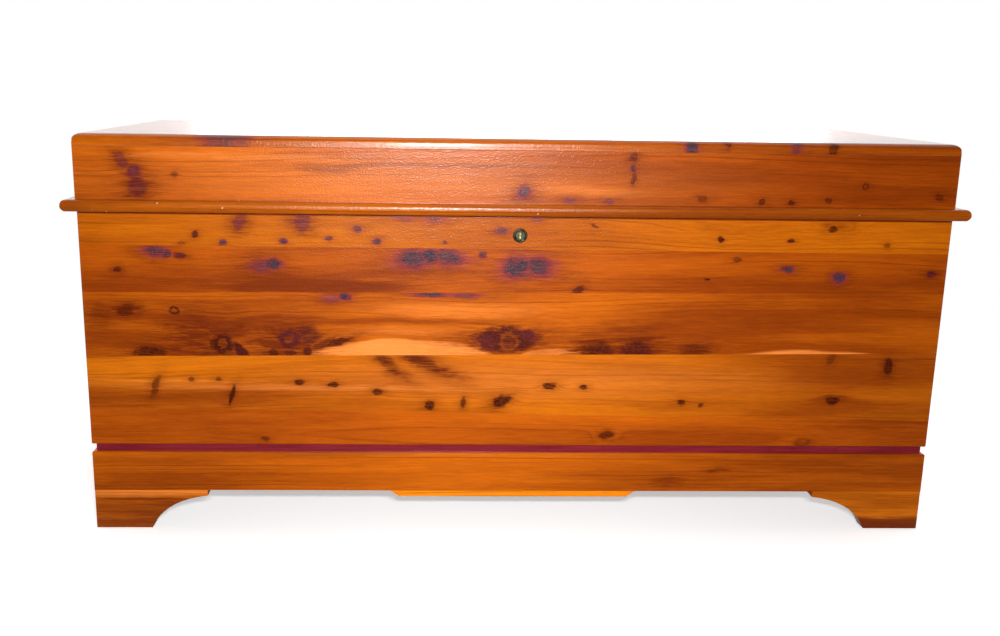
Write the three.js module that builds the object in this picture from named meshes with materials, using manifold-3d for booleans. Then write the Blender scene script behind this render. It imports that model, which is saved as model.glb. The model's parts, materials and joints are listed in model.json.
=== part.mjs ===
// Blanket chest of solid cedar boards: a case on a low base with bracket feet, and a deep lid
// hung on two butt hinges, with a round key lock and a jointed stay.
// Millimetres, +Z up, front towards -Y, standing on the floor at Z 0 with the origin under
// the middle of the whole chest.
import * as THREE from "three";
import { mergeVertices } from "three/addons/utils/BufferGeometryUtils.js";
import Module from "manifold-3d";

const wasm = await Module();
wasm.setup();

// Case boards
const caseWidth = 1160;
const caseDepth = 440;
const boardThickness = 19;
const cornerLip = 8; // what the front and back boards leave over the ends of the end boards
const caseHeight = 325.5; // of the boards, up to the joint with the lid
const lidJointGap = 0.6;
const caseArrisRadius = 3;
// Heights of the glued seams, as shares of the board height, at the left and the right end.
const frontSeamShares = [
  [0.85, 0.844],
  [0.654, 0.676],
  [0.384, 0.418],
  [0.165, 0.12],
];
const backSeamShares = [[0.52, 0.52]];
const endSeamShares = [[0.55, 0.55]];

// Bottom boards
const bottomThickness = 12;
const bottomClearance = 0.5;
const bottomSeamShare = 0.48;

// Accent strips, between the case and the base
const stripHeight = 10.5;
const stripSetBack = 5;
const stripWidth = 32;

// Base rails and bracket feet
const baseRailHeight = 56;
const baseThickness = 22;
const baseArrisRadius = 2;
const footHeight = 56;
const footTopWidth = 155;
const footToeWidth = 77;
const sideFootTopWidth = 140;
const sideFootToeWidth = 72;
const footStep = 8.5; // how far the inner end of a foot stands down from the rail
// The cove: where its control point lies between the toe and the inner end, and how high.
const coveControlShares = [0.22, 0.85];
const dropWidth = 344;
const dropHeight = 8.5;
const dropEndSlope = 12;
const blockLeg = 52;
const blockClearance = 0.4;
const blockFloorGap = 3;

// Lid
const lidLap = 1.2; // how far the lid stands out over the case in front and at the ends
const lidRailHeight = 80; // from the joint to the underside of the top boards
const lidTopThickness = 15;
const roundoverWidth = 11.3;
const roundoverHeight = 7.5;
const topEdgeLean = 0.7; // how far the edge of the top boards leans back below its round
const topSeamShares = [0.36, 0.7];

// Moulding round the front and the ends of the lid
const mouldingHeight = 15.3;
const mouldingDrop = 4.6; // how far it hangs below the joint, over the case
const mouldingOut = 15.2;
// Points of its nose as shares of how far it stands out and of its height.
const noseTopShares = [0.56, 1];
const noseTipShares = [1, 0.46];
const noseFootShares = [0.8, 0.06];
const noseHeelShares = [0.68, 0];

// Butt hinges
const hingeLength = 76;
const hingeFromEnd = 190; // from the end of the case to the middle of the hinge
const hingeKnuckles = 5;
const knuckleRadius = 4.5;
const knuckleGap = 0.3;
const leafThickness = 2;
const leafReach = 15; // from the back face of the board to the inner edge of the leaf
const leafRecessGap = 0.1;
const hingePinRadius = 2.4;
const hingePinGap = 0.1;
const hingePinHeadRadius = 3.6;
const hingePinHeadHeight = 2.2;
const hingePinCrownShares = [0.7, 0.8]; // where the round of a head turns down, out and up

// Key lock in the top front board
const lockBelowJoint = 31.5;
const bezelRadius = 9.5;
const bezelProud = 2.4;
const bezelEdge = 0.9;
const barrelRadius = 8;
const barrelGap = 0.2;
const barrelPastBoard = 6;
const plugRadius = 6;
const plugGap = 0.1;
const plugSetBack = 0.6;
const keyholeWidth = 1.6;
const keyholeHeight = 7;
const keyholeDepth = 5;
const keyholeEyeRadius = 1.4;
const lockNutRadius = 12.5;
const lockNutThickness = 3;
const plugTailRadius = 3.6;
const plugTailPastCam = 0.8;
const camGap = 0.3;
const camThickness = 3;
const camWidth = 9;
const camReach = 22;
const camHubRadius = 7;

// Hooked strike on the lid, which the cam turns over
const strikeThickness = 2.5;
const strikeStart = 10; // from the middle of the lock, sideways
const strikeEnd = 34;
const strikeStemWidth = 8;
const strikeHookHeight = 4;
const strikeCamGap = 0.6;
const strikePlateFoot = 5;
const strikePlateHeight = 26;

// Jointed stay, whose arms are as long as its pivots are far from the hinge pin
const stayArmLength = 170;
const stayArmWidth = 14;
const stayArmThickness = 3;
const stayGap = 0.4;
const stayPivotRadius = 3;
const stayPivotGap = 0.1;
const stayHeadRadius = 5.5;
const stayHeadThickness = 1.2;
const stayBossRadius = 5;
const stayPlateThickness = 2;
const stayPlateLength = 46;
const stayPlateWidth = 24;
const stayPlateCorner = 5;
const stayCasePivotDrop = 37; // below the hinge pin
const stayLidPivotRise = 38; // above the hinge pin, with the lid shut

const cutOverrun = 1;
const roundSegments = 32;
const smallRoundSegments = 20;
const curveSegments = 9;

// Places that follow from the sizes
const baseTop = footHeight + baseRailHeight;
const caseUnderside = baseTop + stripHeight;
const lidJointHeight = caseUnderside + caseHeight;
const lidRailTop = lidJointHeight + lidRailHeight;
const lidTop = lidRailTop + lidTopThickness;
const mouldingBottom = lidJointHeight - mouldingDrop;
const lockHeight = lidJointHeight - lockBelowJoint;
const hingeAxisOut = knuckleRadius + knuckleGap;
const hingeProud = hingeAxisOut + knuckleRadius;
const lidFrontProud = lidLap + mouldingOut;
const frontFace = (lidFrontProud - caseDepth - hingeProud) / 2;
const backFace = frontFace + caseDepth;
const caseHalf = caseWidth / 2;
const caseRim = lidJointHeight - lidJointGap / 2;
const lidRim = lidJointHeight + lidJointGap / 2;
const lidHalf = caseHalf + lidLap;
const lidFront = frontFace - lidLap;
const hingeAxisY = backFace + hingeAxisOut;

// Finishes
const finish = (color, roughness, metalness) =>
  new THREE.MeshStandardMaterial({ color, roughness, metalness });
const cedar = finish(0xc8670e, 0.28, 0);
const cedarDark = finish(0xb4560c, 0.3, 0);
const cedarPale = finish(0xd87c1e, 0.28, 0);
const cedarInside = finish(0xc08a5a, 0.7, 0);
const maroon = finish(0x862428, 0.35, 0);
const brass = finish(0xb08d4a, 0.35, 1);
const bronze = finish(0x5b4a36, 0.35, 1);
const steel = finish(0x9a9a98, 0.4, 1);

const chest = new THREE.Group();

function addPiece(name, geometry, material, parent = chest) {
  const piece = new THREE.Mesh(geometry, material);
  piece.name = name;
  parent.add(piece);
  return piece;
}

// Turns the faces of a closed shape outwards if mirroring or revolving left them inside out.
function facingOut(geometry) {
  const closed = geometry.index ? geometry.toNonIndexed() : geometry;
  const place = closed.getAttribute("position");
  const [a, b, c] = [new THREE.Vector3(), new THREE.Vector3(), new THREE.Vector3()];
  let volume = 0;
  for (let i = 0; i < place.count; i += 3) {
    a.fromBufferAttribute(place, i);
    b.fromBufferAttribute(place, i + 1);
    c.fromBufferAttribute(place, i + 2);
    volume += a.dot(b.cross(c));
  }
  if (volume < 0) {
    for (let i = 0; i < place.count; i += 3) {
      b.fromBufferAttribute(place, i + 1);
      c.fromBufferAttribute(place, i + 2);
      place.setXYZ(i + 1, c.x, c.y, c.z);
      place.setXYZ(i + 2, b.x, b.y, b.z);
    }
  }
  closed.computeVertexNormals();
  return closed;
}

const directions = {
  left: new THREE.Vector3(-1, 0, 0),
  right: new THREE.Vector3(1, 0, 0),
  front: new THREE.Vector3(0, -1, 0),
  back: new THREE.Vector3(0, 1, 0),
  up: new THREE.Vector3(0, 0, 1),
};

// Lays a geometry's own x, y and z along three directions of the chest, from an origin.
function laid(geometry, alongX, alongY, alongZ, origin = [0, 0, 0]) {
  const turn = new THREE.Matrix4().makeBasis(
    directions[alongX],
    directions[alongY],
    directions[alongZ],
  );
  return facingOut(geometry.applyMatrix4(turn).translate(...origin));
}

function outline(points) {
  return new THREE.Shape(points.map(([x, y]) => new THREE.Vector2(x, y)));
}

function extruded(shape, depth, segments = curveSegments) {
  const options = { depth, bevelEnabled: false, curveSegments: segments, steps: 1 };
  return new THREE.ExtrudeGeometry(shape, options);
}

// A plan drawn in x and y, standing between two heights.
function standing(points, bottom, top) {
  return laid(extruded(outline(points), top - bottom), "right", "back", "up", [0, 0, bottom]);
}

function box(from, to) {
  const size = to.map((value, axis) => value - from[axis]);
  const centre = to.map((value, axis) => (value + from[axis]) / 2);
  return new THREE.BoxGeometry(...size).toNonIndexed().translate(...centre);
}

// A round bar along Y from one depth to another, with a vertex at the top of its circle.
function barAlongDepth(radius, x, z, from, to, segments = roundSegments) {
  const bar = new THREE.CylinderGeometry(radius, radius, to - from, segments);
  return bar.toNonIndexed().translate(x, (from + to) / 2, z);
}

// A round bar along X, likewise.
function barAlongWidth(radius, from, to, y, z, segments = smallRoundSegments) {
  const bar = new THREE.CylinderGeometry(radius, radius, to - from, segments);
  return bar.toNonIndexed().rotateZ(Math.PI / 2).translate((from + to) / 2, y, z);
}

// The radius of a faceted hole whose flats stay a gap away from a round of another radius.
function holeRadius(radius, gap, segments) {
  return (radius + gap) / Math.cos(Math.PI / segments);
}

function toSolid(geometry) {
  const shell = geometry.clone();
  shell.deleteAttribute("normal");
  shell.deleteAttribute("uv");
  const merged = mergeVertices(shell);
  return new wasm.Manifold(
    new wasm.Mesh({
      numProp: 3,
      vertProperties: merged.getAttribute("position").array,
      triVerts: new Uint32Array(merged.index.array),
    }),
  );
}

function toGeometry(solid) {
  const mesh = solid.getMesh();
  const geometry = new THREE.BufferGeometry();
  const positions = new THREE.BufferAttribute(Float32Array.from(mesh.vertProperties), 3);
  geometry.setAttribute("position", positions);
  geometry.setIndex(new THREE.BufferAttribute(Uint32Array.from(mesh.triVerts), 1));
  return facingOut(geometry);
}

const cut = (body, ...tools) =>
  toGeometry(tools.reduce((rest, tool) => rest.subtract(toSolid(tool)), toSolid(body)));
const joined = (body, ...others) =>
  toGeometry(others.reduce((sum, other) => sum.add(toSolid(other)), toSolid(body)));
const within = (body, envelope) => toGeometry(toSolid(body).intersect(toSolid(envelope)));

// A block on a rectangular plan whose sides step in or out from level to level.
function layered(left, right, front, back, levels) {
  const corners = ([height, inset]) => [
    [left + inset, front + inset, height],
    [right - inset, front + inset, height],
    [right - inset, back - inset, height],
    [left + inset, back - inset, height],
  ];
  const rings = levels.map(corners);
  const faces = [];
  const quad = (a, b, c, d) => faces.push(a, b, c, a, c, d);
  quad(...rings[0].slice().reverse());
  quad(...rings[rings.length - 1]);
  for (let level = 1; level < rings.length; level += 1) {
    for (let side = 0; side < rings[0].length; side += 1) {
      const next = (side + 1) % rings[0].length;
      quad(
        rings[level - 1][side],
        rings[level - 1][next],
        rings[level][next],
        rings[level][side],
      );
    }
  }
  const geometry = new THREE.BufferGeometry();
  geometry.setAttribute("position", new THREE.Float32BufferAttribute(faces.flat(), 3));
  return facingOut(geometry);
}

// Height and inset of a quarter round: full size at the height given, drawn in past it.
function quarterRound(height, width, rise) {
  return Array.from({ length: curveSegments + 1 }, (_, step) => {
    const angle = (step / curveSegments) * (Math.PI / 2);
    return [height + rise * Math.sin(angle), width * (1 - Math.cos(angle))];
  });
}

// Boards glued edge to edge

// Stands a plan between two edges, each given by its height at the left and the right end.
function boardBetween(plan, bottomEdge, topEdge, width) {
  const board = extruded(outline(plan), 1);
  const place = board.getAttribute("position");
  for (let i = 0; i < place.count; i += 1) {
    const share = place.getX(i) / width + 0.5;
    const [atLeft, atRight] = place.getZ(i) > 0.5 ? topEdge : bottomEdge;
    place.setZ(i, atLeft + (atRight - atLeft) * share);
  }
  return facingOut(board);
}

// Edges from top to bottom of a panel, from the shares of its seams.
function panelEdges(seamShares) {
  const height = caseRim - caseUnderside;
  const seams = seamShares.map((pair) => pair.map((share) => caseUnderside + height * share));
  return [[caseRim, caseRim], ...seams, [caseUnderside, caseUnderside]];
}

// The eased bottom arris that runs round all four sides of the case.
const caseEnvelope = layered(-caseHalf, caseHalf, frontFace, backFace, [
  ...quarterRound(0, caseArrisRadius, caseArrisRadius)
    .reverse()
    .map(([rise, inset]) => [caseUnderside + caseArrisRadius - rise, inset]),
  [lidJointHeight, 0],
]);

function addPanel(name, plan, seamShares, material, shapeTop = (board) => board) {
  const edges = panelEdges(seamShares);
  for (let number = 1; number < edges.length; number += 1) {
    let board = boardBetween(plan, edges[number], edges[number - 1], caseWidth);
    if (number === 1) board = shapeTop(board);
    if (number === edges.length - 1) board = within(board, caseEnvelope);
    addPiece(`${name}_${number}`, board, material[number % material.length]);
  }
}

// The plan of a front or back board: its ends are rabbeted over the end boards.
function rabbetedPlan(outer, inward) {
  const lip = outer + inward * cornerLip;
  const inner = outer + inward * boardThickness;
  const shoulder = caseHalf - boardThickness;
  return [
    [-caseHalf, outer],
    [caseHalf, outer],
    [caseHalf, lip],
    [shoulder, lip],
    [shoulder, inner],
    [-shoulder, inner],
    [-shoulder, lip],
    [-caseHalf, lip],
  ];
}

const hingeMiddles = { left: hingeFromEnd - caseHalf, right: caseHalf - hingeFromEnd };

// The shallow seats of the leaves, in the rim of the back board or the edge of the lid rail.
function leafRecesses(rim, outward) {
  const depth = outward * (leafThickness + leafRecessGap);
  const heights = [rim - outward * cutOverrun, rim + depth].sort((a, b) => a - b);
  return Object.values(hingeMiddles).map((middle) =>
    box(
      [middle - hingeLength / 2 - leafRecessGap, backFace - leafReach - leafRecessGap, heights[0]],
      [middle + hingeLength / 2 + leafRecessGap, backFace + cutOverrun, heights[1]],
    ),
  );
}

function addCase() {
  const lockBore = barAlongDepth(
    holeRadius(barrelRadius, barrelGap, roundSegments),
    0,
    lockHeight,
    frontFace - cutOverrun,
    frontFace + boardThickness + cutOverrun,
  );
  addPanel("front_board", rabbetedPlan(frontFace, 1), frontSeamShares, [cedar, cedarPale], (board) =>
    cut(board, lockBore),
  );
  addPanel("back_board", rabbetedPlan(backFace, -1), backSeamShares, [cedarDark, cedar], (board) =>
    cut(board, ...leafRecesses(caseRim, -1)),
  );
  for (const [side, sign] of [["left", -1], ["right", 1]]) {
    const outer = sign * caseHalf;
    const inner = outer - sign * boardThickness;
    const plan = [
      [outer, frontFace + cornerLip],
      [outer, backFace - cornerLip],
      [inner, backFace - cornerLip],
      [inner, frontFace + cornerLip],
    ];
    addPanel(`${side}_end_board`, plan, endSeamShares, [cedarDark, cedar]);
  }
}

function addBottom() {
  const half = caseHalf - boardThickness - bottomClearance;
  const front = frontFace + boardThickness + bottomClearance;
  const back = backFace - boardThickness - bottomClearance;
  const seam = front + (back - front) * bottomSeamShare;
  const top = caseUnderside + bottomThickness;
  const boards = { front: [front, seam], back: [seam, back] };
  for (const [name, [from, to]] of Object.entries(boards)) {
    const board = box([-half, from, caseUnderside], [half, to, top]);
    addPiece(`bottom_board_${name}`, board, cedarInside);
  }
}

// Base: rails, accent strips and feet, all mitred at the corners

// The plan of a mitred member along one side of the rectangle set in from the case.
function mitredPlan(side, inset, width, halfAcross, front, back) {
  const ring = (distance) => [
    [-halfAcross + distance, front + distance],
    [halfAcross - distance, front + distance],
    [halfAcross - distance, back - distance],
    [-halfAcross + distance, back - distance],
  ];
  const start = ["front", "right", "back", "left"].indexOf(side);
  const end = (start + 1) % 4;
  const outer = ring(inset);
  const inner = ring(inset + width);
  return [outer[start], outer[end], inner[end], inner[start]];
}

const sides = ["front", "right", "back", "left"];

function addStripsAndRails() {
  const railEnvelope = layered(-caseHalf, caseHalf, frontFace, backFace, [
    [footHeight - cutOverrun, 0],
    ...quarterRound(baseTop - baseArrisRadius, baseArrisRadius, baseArrisRadius),
  ]);
  for (const side of sides) {
    const stripPlan = mitredPlan(side, stripSetBack, stripWidth, caseHalf, frontFace, backFace);
    addPiece(`${side}_accent_strip`, standing(stripPlan, baseTop, caseUnderside), maroon);
    const railPlan = mitredPlan(side, 0, baseThickness, caseHalf, frontFace, backFace);
    const rail = within(standing(railPlan, footHeight, baseTop), railEnvelope);
    addPiece(`${side}_base_rail`, rail, cedar);
  }
}

// One bracket of a foot, seen from outside, from the corner inwards: a flat toe, then a cove
// that rises to a short step at its inner end. Its corner end is cut to the mitre.
function bracket(topWidth, toeWidth) {
  const coveTop = footHeight - footStep;
  const [across, up] = coveControlShares;
  const shape = new THREE.Shape();
  shape.moveTo(0, 0);
  shape.lineTo(toeWidth, 0);
  shape.quadraticCurveTo(
    toeWidth + (topWidth - toeWidth) * across,
    coveTop * up,
    topWidth,
    coveTop,
  );
  shape.lineTo(topWidth, footHeight);
  shape.lineTo(0, footHeight);
  const board = extruded(shape, baseThickness);
  const place = board.getAttribute("position");
  for (let i = 0; i < place.count; i += 1) {
    if (place.getX(i) === 0) place.setX(i, place.getZ(i));
  }
  return board;
}

function addFeet() {
  const corners = [
    ["front", "left", frontFace, -caseHalf, "right", "back"],
    ["front", "right", frontFace, caseHalf, "left", "back"],
    ["back", "left", backFace, -caseHalf, "right", "front"],
    ["back", "right", backFace, caseHalf, "left", "front"],
  ];
  for (const [end, side, y, x, inwardAcross, inwardDeep] of corners) {
    const corner = [x, y, 0];
    const face = laid(bracket(footTopWidth, footToeWidth), inwardAcross, "up", inwardDeep, corner);
    addPiece(`${end}_${side}_foot_face`, face, cedar);
    const flank = bracket(sideFootTopWidth, sideFootToeWidth);
    const placed = laid(flank, inwardDeep, "up", inwardAcross, corner);
    addPiece(`${end}_${side}_foot_side`, placed, cedar);
    addCornerBlock(`${end}_${side}_corner_block`, corner, inwardAcross, inwardDeep);
  }
}

// A three-cornered block glued behind the feet and rails of each corner.
function addCornerBlock(name, corner, inwardAcross, inwardDeep) {
  const inner = baseThickness + blockClearance;
  const plan = outline([
    [inner, inner],
    [inner + blockLeg, inner],
    [inner, inner + blockLeg],
  ]);
  const height = baseTop - blockFloorGap;
  const [x, y] = corner;
  const block = laid(extruded(plan, height), inwardAcross, inwardDeep, "up", [x, y, blockFloorGap]);
  addPiece(name, block, cedarInside);
}

function addFrontDrop() {
  const half = dropWidth / 2;
  const shape = outline([
    [-half, footHeight],
    [-half + dropEndSlope, footHeight - dropHeight],
    [half - dropEndSlope, footHeight - dropHeight],
    [half, footHeight],
  ]);
  const drop = extruded(shape, baseThickness);
  addPiece("front_centre_drop", laid(drop, "right", "up", "back", [0, frontFace, 0]), cedar);
}

// Lid

function addLidTop() {
  const round = quarterRound(lidTop - roundoverHeight, roundoverWidth, roundoverHeight);
  const rounded = layered(-lidHalf, lidHalf, lidFront, backFace, [
    [lidRailTop, 0],
    ...round.map(([height, inset]) => [height, inset + topEdgeLean]),
  ]);
  const depth = backFace - lidFront;
  const front = lidFront - cutOverrun;
  const back = backFace + cutOverrun;
  const edges = [front, ...topSeamShares.map((share) => lidFront + depth * share), back];
  for (let number = 1; number < edges.length; number += 1) {
    const slice = box(
      [-lidHalf - cutOverrun, edges[number - 1], lidRailTop - cutOverrun],
      [lidHalf + cutOverrun, edges[number], lidTop + cutOverrun],
    );
    addPiece(`lid_top_board_${number}`, within(rounded, slice), number === 2 ? cedarPale : cedar);
  }
}

function addLidRails() {
  for (const side of sides) {
    const plan = mitredPlan(side, 0, boardThickness, lidHalf, lidFront, backFace);
    let rail = standing(plan, lidRim, lidRailTop);
    if (side === "back") rail = cut(rail, ...leafRecesses(lidRim, 1));
    addPiece(`${side}_lid_rail`, rail, side === "front" ? cedar : cedarDark);
  }
}

// The moulding's section: out from the lid and up from its foot, with a full round nose.
function mouldingSection() {
  const at = ([out, up]) => [out * mouldingOut, mouldingBottom + up * mouldingHeight];
  const [top, tip, foot, heel] = [noseTopShares, noseTipShares, noseFootShares, noseHeelShares].map(at);
  const shape = new THREE.Shape();
  shape.moveTo(0, mouldingBottom);
  shape.lineTo(...heel);
  const bellyUp = (foot[1] + tip[1]) / 2;
  const turn = ((tip[0] - foot[0]) * (foot[1] - heel[1])) / (bellyUp - foot[1]);
  shape.quadraticCurveTo(foot[0] - turn, heel[1], ...foot);
  shape.quadraticCurveTo(tip[0], bellyUp, ...tip);
  shape.quadraticCurveTo(tip[0], top[1], ...top);
  shape.lineTo(0, mouldingBottom + mouldingHeight);
  return shape;
}

// A length of moulding whose ends run out to the mitre where asked.
function mouldingLength(length, mitredStart, mitredEnd) {
  const strip = extruded(mouldingSection(), length);
  const place = strip.getAttribute("position");
  for (let i = 0; i < place.count; i += 1) {
    const out = place.getX(i);
    if (place.getZ(i) === 0 && mitredStart) place.setZ(i, -out);
    else if (place.getZ(i) > 0 && mitredEnd) place.setZ(i, length + out);
  }
  return strip;
}

function addMoulding() {
  const front = mouldingLength(2 * lidHalf, true, true);
  const depth = backFace - lidFront;
  addPiece("front_moulding", laid(front, "front", "up", "right", [-lidHalf, lidFront, 0]), cedar);
  for (const [side, sign] of [["left", -1], ["right", 1]]) {
    const end = mouldingLength(depth, true, false);
    const placed = laid(end, side, "up", "back", [sign * lidHalf, lidFront, 0]);
    addPiece(`${side}_moulding`, placed, cedar);
  }
}

// Butt hinges

// One leaf: a flat plate whose outer edge is rolled into every other knuckle.
function hingeLeaf(middle, plateBottom, ownKnuckles) {
  const start = middle - hingeLength / 2;
  const pitch = hingeLength / hingeKnuckles;
  const plateTop = plateBottom + leafThickness;
  const plate = box(
    [start, backFace - leafReach, plateBottom],
    [start + hingeLength, backFace, plateTop],
  );
  const rolls = [];
  for (let number = 0; number < hingeKnuckles; number += 1) {
    if (number % 2 !== ownKnuckles) continue;
    const from = start + number * pitch + (number === 0 ? 0 : knuckleGap / 2);
    const isLast = number === hingeKnuckles - 1;
    const to = start + (number + 1) * pitch - (isLast ? 0 : knuckleGap / 2);
    rolls.push(
      barAlongWidth(knuckleRadius, from, to, hingeAxisY, lidJointHeight),
      box([from, backFace - cutOverrun, plateBottom], [to, hingeAxisY, plateTop]),
    );
  }
  const bore = barAlongWidth(
    holeRadius(hingePinRadius, hingePinGap, smallRoundSegments),
    start - cutOverrun,
    start + hingeLength + cutOverrun,
    hingeAxisY,
    lidJointHeight,
  );
  return cut(joined(plate, ...rolls), bore);
}

function addHinges() {
  for (const [side, middle] of Object.entries(hingeMiddles)) {
    addPiece(`${side}_hinge_case_leaf`, hingeLeaf(middle, caseRim - leafThickness, 0), brass);
    addPiece(`${side}_hinge_lid_leaf`, hingeLeaf(middle, lidRim, 1), brass);
    const [crownOut, crownUp] = hingePinCrownShares;
    const head = [
      [0, hingePinHeadHeight],
      [hingePinHeadRadius * crownOut, hingePinHeadHeight * crownUp],
      [hingePinHeadRadius, knuckleGap],
    ];
    const half = hingeLength / 2;
    const profile = [
      ...head.map(([radius, out]) => [radius, half + out]),
      [hingePinRadius, half + knuckleGap],
      [hingePinRadius, -half - knuckleGap],
      ...head.toReversed().map(([radius, out]) => [radius, -half - out]),
    ];
    const points = profile.map(([radius, along]) => new THREE.Vector2(radius, along));
    const pin = new THREE.LatheGeometry(points, smallRoundSegments).rotateZ(Math.PI / 2);
    const placed = facingOut(pin.translate(middle, hingeAxisY, lidJointHeight));
    addPiece(`${side}_hinge_pin`, placed, brass);
  }
}

// Key lock

function revolvedAboutLock(profile) {
  const points = profile.map(([radius, deep]) => new THREE.Vector2(radius, frontFace + deep));
  const turned = new THREE.LatheGeometry(points, roundSegments);
  return facingOut(turned.translate(0, 0, lockHeight));
}

function addLock() {
  const bore = holeRadius(plugRadius, plugGap, roundSegments);
  const barrelEnd = boardThickness + barrelPastBoard;
  const housing = revolvedAboutLock([
    [bore, -bezelProud + bezelEdge],
    [bore + bezelEdge, -bezelProud],
    [bezelRadius - bezelEdge, -bezelProud],
    [bezelRadius, -bezelProud + bezelEdge],
    [bezelRadius, 0],
    [barrelRadius, 0],
    [barrelRadius, barrelEnd],
    [bore, barrelEnd],
    [bore, -bezelProud + bezelEdge],
  ]);
  addPiece("lock_housing", housing, bronze);

  const camStart = barrelEnd + camGap;
  const camEnd = camStart + camThickness;
  const plugFront = -bezelProud + plugSetBack;
  const blank = revolvedAboutLock([
    [0, plugFront],
    [plugRadius, plugFront],
    [plugRadius, barrelEnd],
    [plugTailRadius, barrelEnd],
    [plugTailRadius, camEnd + plugTailPastCam],
    [0, camEnd + plugTailPastCam],
  ]);
  const slotFront = frontFace + plugFront - cutOverrun;
  const slotBack = frontFace + plugFront + keyholeDepth;
  const slot = box(
    [-keyholeWidth / 2, slotFront, lockHeight - keyholeHeight / 2],
    [keyholeWidth / 2, slotBack, lockHeight + keyholeHeight / 2],
  );
  const eyeHeight = lockHeight + keyholeHeight / 2 - keyholeEyeRadius;
  const eye = barAlongDepth(
    keyholeEyeRadius,
    0,
    eyeHeight,
    slotFront,
    slotBack,
    smallRoundSegments,
  );
  addPiece("lock_plug", cut(blank, joined(slot, eye)), brass);

  const nut = new THREE.CylinderGeometry(lockNutRadius, lockNutRadius, lockNutThickness, 6);
  const nutMiddle = frontFace + boardThickness + lockNutThickness / 2;
  const nutBore = barAlongDepth(
    holeRadius(barrelRadius, barrelGap, roundSegments),
    0,
    lockHeight,
    frontFace + boardThickness - cutOverrun,
    frontFace + boardThickness + lockNutThickness + cutOverrun,
  );
  const nutBlank = nut.toNonIndexed().translate(0, nutMiddle, lockHeight);
  addPiece("lock_nut", cut(nutBlank, nutBore), bronze);

  const arm = box(
    [-camWidth / 2, frontFace + camStart, lockHeight],
    [camWidth / 2, frontFace + camEnd, lockHeight + camReach],
  );
  const hub = barAlongDepth(camHubRadius, 0, lockHeight, frontFace + camStart, frontFace + camEnd);
  const tailHole = barAlongDepth(
    holeRadius(plugTailRadius, plugGap, roundSegments),
    0,
    lockHeight,
    frontFace + camStart - cutOverrun,
    frontFace + camEnd + cutOverrun,
  );
  addPiece("lock_cam", cut(joined(hub, arm), tailHole), steel);
  addStrike(camStart + (camThickness - strikeThickness) / 2);
}

// The strike is one strip, stepped back behind the front board, with a notch that leaves a
// hook for the cam to turn over.
function addStrike(hookFace) {
  const plateFace = boardThickness - lidLap;
  const hookBottom = lockHeight - camWidth / 2 - strikeCamGap - strikeHookHeight;
  const stepBottom = lidRim + strikePlateFoot - strikeThickness;
  const stepTop = lidRim + strikePlateFoot;
  const profile = outline([
    [hookFace, hookBottom],
    [hookFace + strikeThickness, hookBottom],
    [hookFace + strikeThickness, stepTop],
    [plateFace + strikeThickness, stepTop],
    [plateFace + strikeThickness, stepTop + strikePlateHeight],
    [plateFace, stepTop + strikePlateHeight],
    [plateFace, stepBottom],
    [hookFace, stepBottom],
  ]);
  const strip = extruded(profile, strikeEnd - strikeStart);
  const placed = laid(strip, "back", "up", "right", [strikeStart, frontFace, 0]);
  const notch = box(
    [strikeStart - cutOverrun, frontFace + plateFace, hookBottom + strikeHookHeight],
    [
      strikeEnd - strikeStemWidth,
      frontFace + hookFace + strikeThickness + cutOverrun,
      stepBottom - strikeThickness,
    ],
  );
  addPiece("lock_strike", cut(placed, notch), steel);
}

// Jointed stay, inside the right end

const stayWall = caseHalf - boardThickness;
const lowerArmOuter = stayWall - stayPlateThickness - stayGap;
const lowerArmInner = lowerArmOuter - stayArmThickness;
const upperArmOuter = lowerArmInner - stayGap;
const upperArmInner = upperArmOuter - stayArmThickness;
const pivotAhead = (rise) => Math.sqrt(stayArmLength ** 2 - rise ** 2);
const casePivot = [-pivotAhead(stayCasePivotDrop), -stayCasePivotDrop];
const lidPivot = [-pivotAhead(stayLidPivotRise), stayLidPivotRise];

// A flat bar along its own +Y, from the middle of one pivot to the middle of the next.
function stayBar(outerFace) {
  const radius = stayArmWidth / 2;
  const shape = new THREE.Shape();
  shape.absarc(0, 0, radius, Math.PI / 2, (3 * Math.PI) / 2);
  shape.absarc(stayArmLength, 0, radius, -Math.PI / 2, Math.PI / 2);
  const bar = extruded(shape, stayArmThickness);
  return laid(bar, "back", "up", "right", [outerFace - stayArmThickness, 0, 0]);
}

const stayHole = (along, inner) =>
  barAlongWidth(
    holeRadius(stayPivotRadius, stayPivotGap, smallRoundSegments),
    inner - cutOverrun,
    inner + stayArmThickness + cutOverrun,
    along,
    0,
  );

// A stud that starts at an outer face, passes an arm and holds it with a head.
function headedStud(outer, armInner, along) {
  const neck = armInner - stayGap;
  return joined(
    barAlongWidth(stayPivotRadius, neck - stayHeadThickness / 2, outer, along, 0),
    barAlongWidth(stayHeadRadius, neck - stayHeadThickness, neck, along, 0),
  );
}

function stayPlate(outer) {
  const half = [stayPlateLength / 2 - stayPlateCorner, stayPlateWidth / 2 - stayPlateCorner];
  const shape = new THREE.Shape();
  shape.absarc(half[0], half[1], stayPlateCorner, 0, Math.PI / 2);
  shape.absarc(-half[0], half[1], stayPlateCorner, Math.PI / 2, Math.PI);
  shape.absarc(-half[0], -half[1], stayPlateCorner, Math.PI, (3 * Math.PI) / 2);
  shape.absarc(half[0], -half[1], stayPlateCorner, (3 * Math.PI) / 2, 2 * Math.PI);
  const plate = extruded(shape, stayPlateThickness, curveSegments);
  return laid(plate, "back", "up", "right", [outer - stayPlateThickness, 0, 0]);
}

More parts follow.
